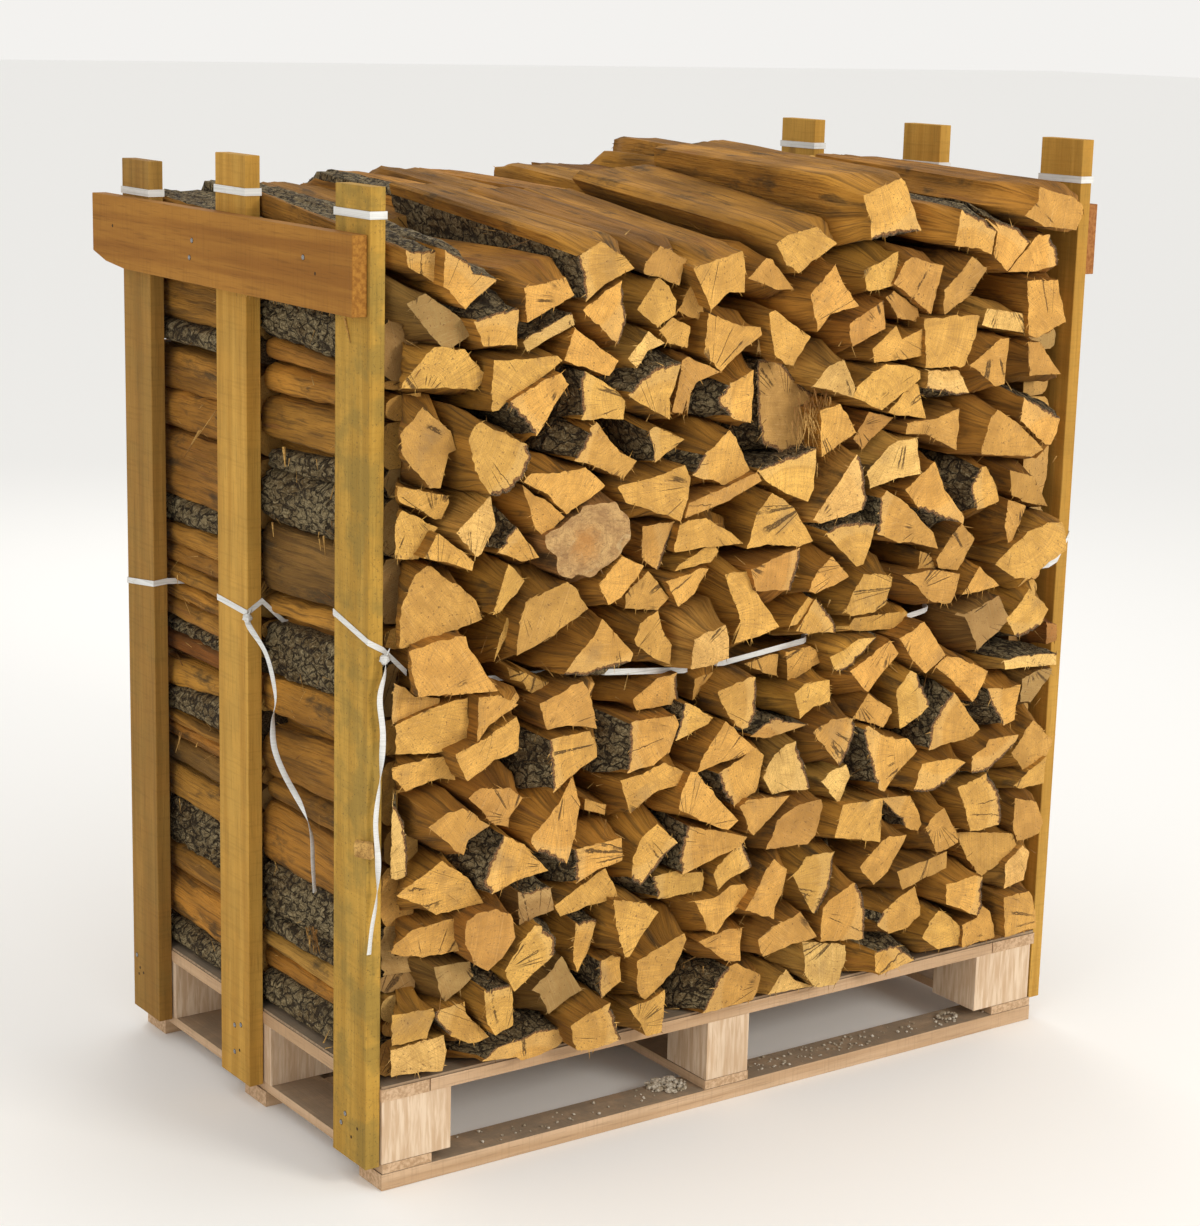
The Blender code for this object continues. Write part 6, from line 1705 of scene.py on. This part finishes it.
# %% Nails and old nail holes
CROSS_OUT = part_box("cross_board_left")[0].x
POST_FACE = -0.6223
NAILS = ((CROSS_OUT, 0.090, 1.238), (CROSS_OUT, 0.098, 1.214), (CROSS_OUT, -0.225, 1.243),
         (POST_FACE, -0.3016, 0.0963), (POST_FACE, -0.2908, 0.0799), (POST_FACE, 0.0206, 0.114),
         (POST_FACE, 0.0015, 0.1205), (POST_FACE, 0.0211, 0.073), (POST_FACE, 0.3463, 0.1187))
HOLES = ((CROSS_OUT, -0.256, 1.225), (CROSS_OUT, 0.345, 1.238), (POST_FACE, -0.3341, 0.0861),
         (POST_FACE, -0.3181, 0.0685), (POST_FACE, 0.3360, 0.1010), (POST_FACE, 0.3400, 0.0900),
         (POST_FACE, 0.3240, 0.0960), (POST_FACE, 0.0060, 0.0800))
nails = bmesh.new()
for x, y, z in NAILS:
    bmesh.ops.create_cone(nails, segments=12, radius1=0.0034, radius2=0.0030, depth=0.0010, cap_ends=True,
                          matrix=Matrix.Translation((x - 0.0004, y, z)) @ facing((-1, 0, 0)))
finish_piece("nail_heads", nails, metal_material())
# Old nail holes and the dents round the nail heads: thin near-black discs, painted shade where the holes
# and dents are.
hole_shades = bmesh.new()
for (x, y, z), size in [(p, 0.0026) for p in HOLES] + [(p, 0.0043) for p in NAILS]:
    bmesh.ops.create_cone(hole_shades, segments=9, radius1=size, radius2=size * 0.8, depth=0.0004, cap_ends=True,
                          matrix=Matrix.Translation((x - 0.0001, y, z)) @ facing((-1, 0, 0)))
finish_piece("nail_dent_shades", hole_shades, hole_shade_material())

# %% Twine knots where the loose ends start
KNOT_RADIUS = 0.0062
rng = random.Random(29)
knots = bmesh.new()
for x, y, z in (FRONT_END_ROUTE[0], MIDDLE_END_ROUTE[0]):
    core = Vector((x, y, z))
    made = bmesh.ops.create_icosphere(knots, subdivisions=3, radius=KNOT_RADIUS,
                                      matrix=Matrix.Translation(core))
    for vert in made["verts"]:
        out = vert.co - core
        fold = noise.noise(out * 380.0)
        vert.co = core + out * (1.0 + 0.45 * fold)
    for way in ((0.1, -0.5, 0.9), (0.2, 0.6, -0.6)):
        sliver(knots, core + Vector(way).normalized() * 0.008, way, 0.022, 0.008, 0.12)
finish_piece("twine_knots", knots, look["top_strap"], True)

# %% Splinters between the log ends
splinter_mat = splinter_material()
splinters = bmesh.new()
for _ in range(420):
    place = Vector((rng.uniform(-0.575, 0.575), -rng.uniform(0.345, 0.388), rng.uniform(0.165, 1.150)))
    way = Vector((rng.uniform(-1, 1), rng.uniform(-0.35, 0.35), rng.uniform(-0.9, 0.9)))
    sliver(splinters, place, way, rng.uniform(0.008, 0.034), rng.uniform(0.0010, 0.0034))
for _ in range(110):
    y = rng.choice((rng.uniform(-0.258, -0.030), rng.uniform(0.070, 0.262)))
    place = Vector((-rng.uniform(0.588, 0.5955), y, rng.uniform(0.165, 1.150)))
    way = Vector((rng.uniform(-0.15, 0.15), rng.uniform(-1, 1), rng.uniform(-0.7, 0.4)))
    sliver(splinters, place, way, rng.uniform(0.008, 0.030), rng.uniform(0.0008, 0.0026))
for _ in range(70):
    place = Vector((rng.uniform(-0.50, 0.55), rng.uniform(-0.34, 0.30), rng.uniform(1.215, 1.275)))
    sliver(splinters, place, (rng.uniform(-1, 1), rng.uniform(-1, 1), rng.uniform(-0.1, 0.5)),
           rng.uniform(0.010, 0.040), rng.uniform(0.0010, 0.0028))
for _ in range(130):
    place = Vector((rng.gauss(0.072, 0.018), -rng.uniform(0.384, 0.402), rng.gauss(1.005, 0.022)))
    way = Vector((rng.uniform(-0.5, 0.5), rng.uniform(-0.7, 0.1), -1.0))
    sliver(splinters, place, way, rng.uniform(0.012, 0.034), rng.uniform(0.0012, 0.0030))
finish_piece("splinters", splinters, splinter_mat)

# %% Straw and loose fibres that the photograph shows on the left side
straw = bmesh.new()
LEFT_STRAWS = (
    ((-0.6005, 0.108, 0.998), (-0.6005, 0.172, 0.948), 0.0030),
    ((-0.6005, 0.160, 0.962), (-0.6005, 0.212, 0.914), 0.0048),
    ((-0.5990, 0.230, 0.500), (-0.5990, 0.252, 0.463), 0.0030),
    ((-0.5990, 0.238, 0.498), (-0.5990, 0.241, 0.470), 0.0022),
    ((-0.5990, -0.088, 0.975), (-0.5990, -0.092, 0.948), 0.0060),
    ((-0.5990, -0.104, 0.962), (-0.5990, -0.100, 0.950), 0.0020),
    ((-0.5990, -0.178, 0.972), (-0.5990, -0.181, 0.958), 0.0018),
    ((-0.5990, -0.198, 0.872), (-0.5990, -0.203, 0.842), 0.0036),
    ((-0.5990, -0.186, 0.866), (-0.5990, -0.190, 0.850), 0.0024),
    ((-0.5990, -0.055, 0.866), (-0.5990, -0.058, 0.846), 0.0034),
    ((-0.6240, -0.296, 1.172), (-0.6230, -0.309, 1.142), 0.0044),
    ((-0.5985, -0.012, 0.490), (-0.5985, 0.004, 0.508), 0.0020),
    ((-0.5990, -0.200, 0.158), (-0.5990, -0.216, 0.182), 0.0030),
    ((-0.5990, -0.206, 0.152), (-0.5990, -0.228, 0.162), 0.0030),
    ((-0.6020, -0.350, 0.200), (-0.6020, -0.352, 0.176), 0.0020),
)
for start, end, width in LEFT_STRAWS:
    a, b = Vector(start), Vector(end)
    sliver(straw, (a + b) / 2, b - a, (b - a).length, width, 0.5)
for _ in range(26):
    place = Vector((-0.5975, rng.uniform(-0.190, -0.150), rng.uniform(0.284, 0.312)))
    sliver(straw, place, (rng.uniform(-0.1, 0.1), rng.uniform(-0.5, 0.5), -1.0),
           rng.uniform(0.010, 0.022), 0.0022)
for _ in range(34):
    y = rng.uniform(-0.345, -0.02)
    sliver(straw, Vector((CROSS_OUT + 0.004, y, 1.1785)),
           (rng.uniform(-0.3, 0.3), rng.uniform(-1, 1), -0.5), rng.uniform(0.006, 0.014), 0.0013)
finish_piece("straw_and_fibres", straw, splinter_mat)

# %% A chip of wood caught on the edge of the front post
chip = bmesh.new()
bmesh.ops.create_cube(chip, size=1.0, matrix=Matrix.Translation((-0.6265, -0.3560, 0.4860))
                      @ Matrix.Rotation(0.5, 4, "Z") @ Matrix.Diagonal((0.008, 0.026, 0.021, 1.0)))
bmesh.ops.subdivide_edges(chip, edges=chip.edges, cuts=2, use_grid_fill=True)
for vert in chip.verts:
    vert.co += 0.0022 * noise.noise_vector(vert.co * 170.0)
finish_piece("caught_chip", chip, splinter_mat)

# %% Gravel and dirt on the front bottom board
gravel = bmesh.new()
BOARD_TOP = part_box("bottom_board_front")[1].z
for _ in range(130):
    turn, far = rng.uniform(0, 6.283), rng.uniform(0.0, 1.0) ** 0.6
    size = rng.uniform(0.0035, 0.0095)
    place = (-0.092 + 0.030 * far * math.cos(turn), -0.318 + 0.030 * far * math.sin(turn),
             BOARD_TOP + size * 0.28)
    pebble(gravel, place, size, rng)
for _ in range(170):
    x = rng.choice((rng.uniform(0.030, 0.300), rng.uniform(0.030, 0.560), rng.uniform(-0.45, -0.06)))
    size = rng.uniform(0.0018, 0.0060)
    pebble(gravel, (x, rng.uniform(-0.352, -0.306), BOARD_TOP + size * 0.28), size, rng)
for i in range(14):
    turn = i / 14 * 2 * math.pi
    place = (0.449 + 0.016 * math.cos(turn), -0.330 + 0.011 * math.sin(turn), BOARD_TOP + 0.003)
    pebble(gravel, place, rng.uniform(0.0060, 0.0095), rng)
finish_piece("gravel", gravel, gravel_material())
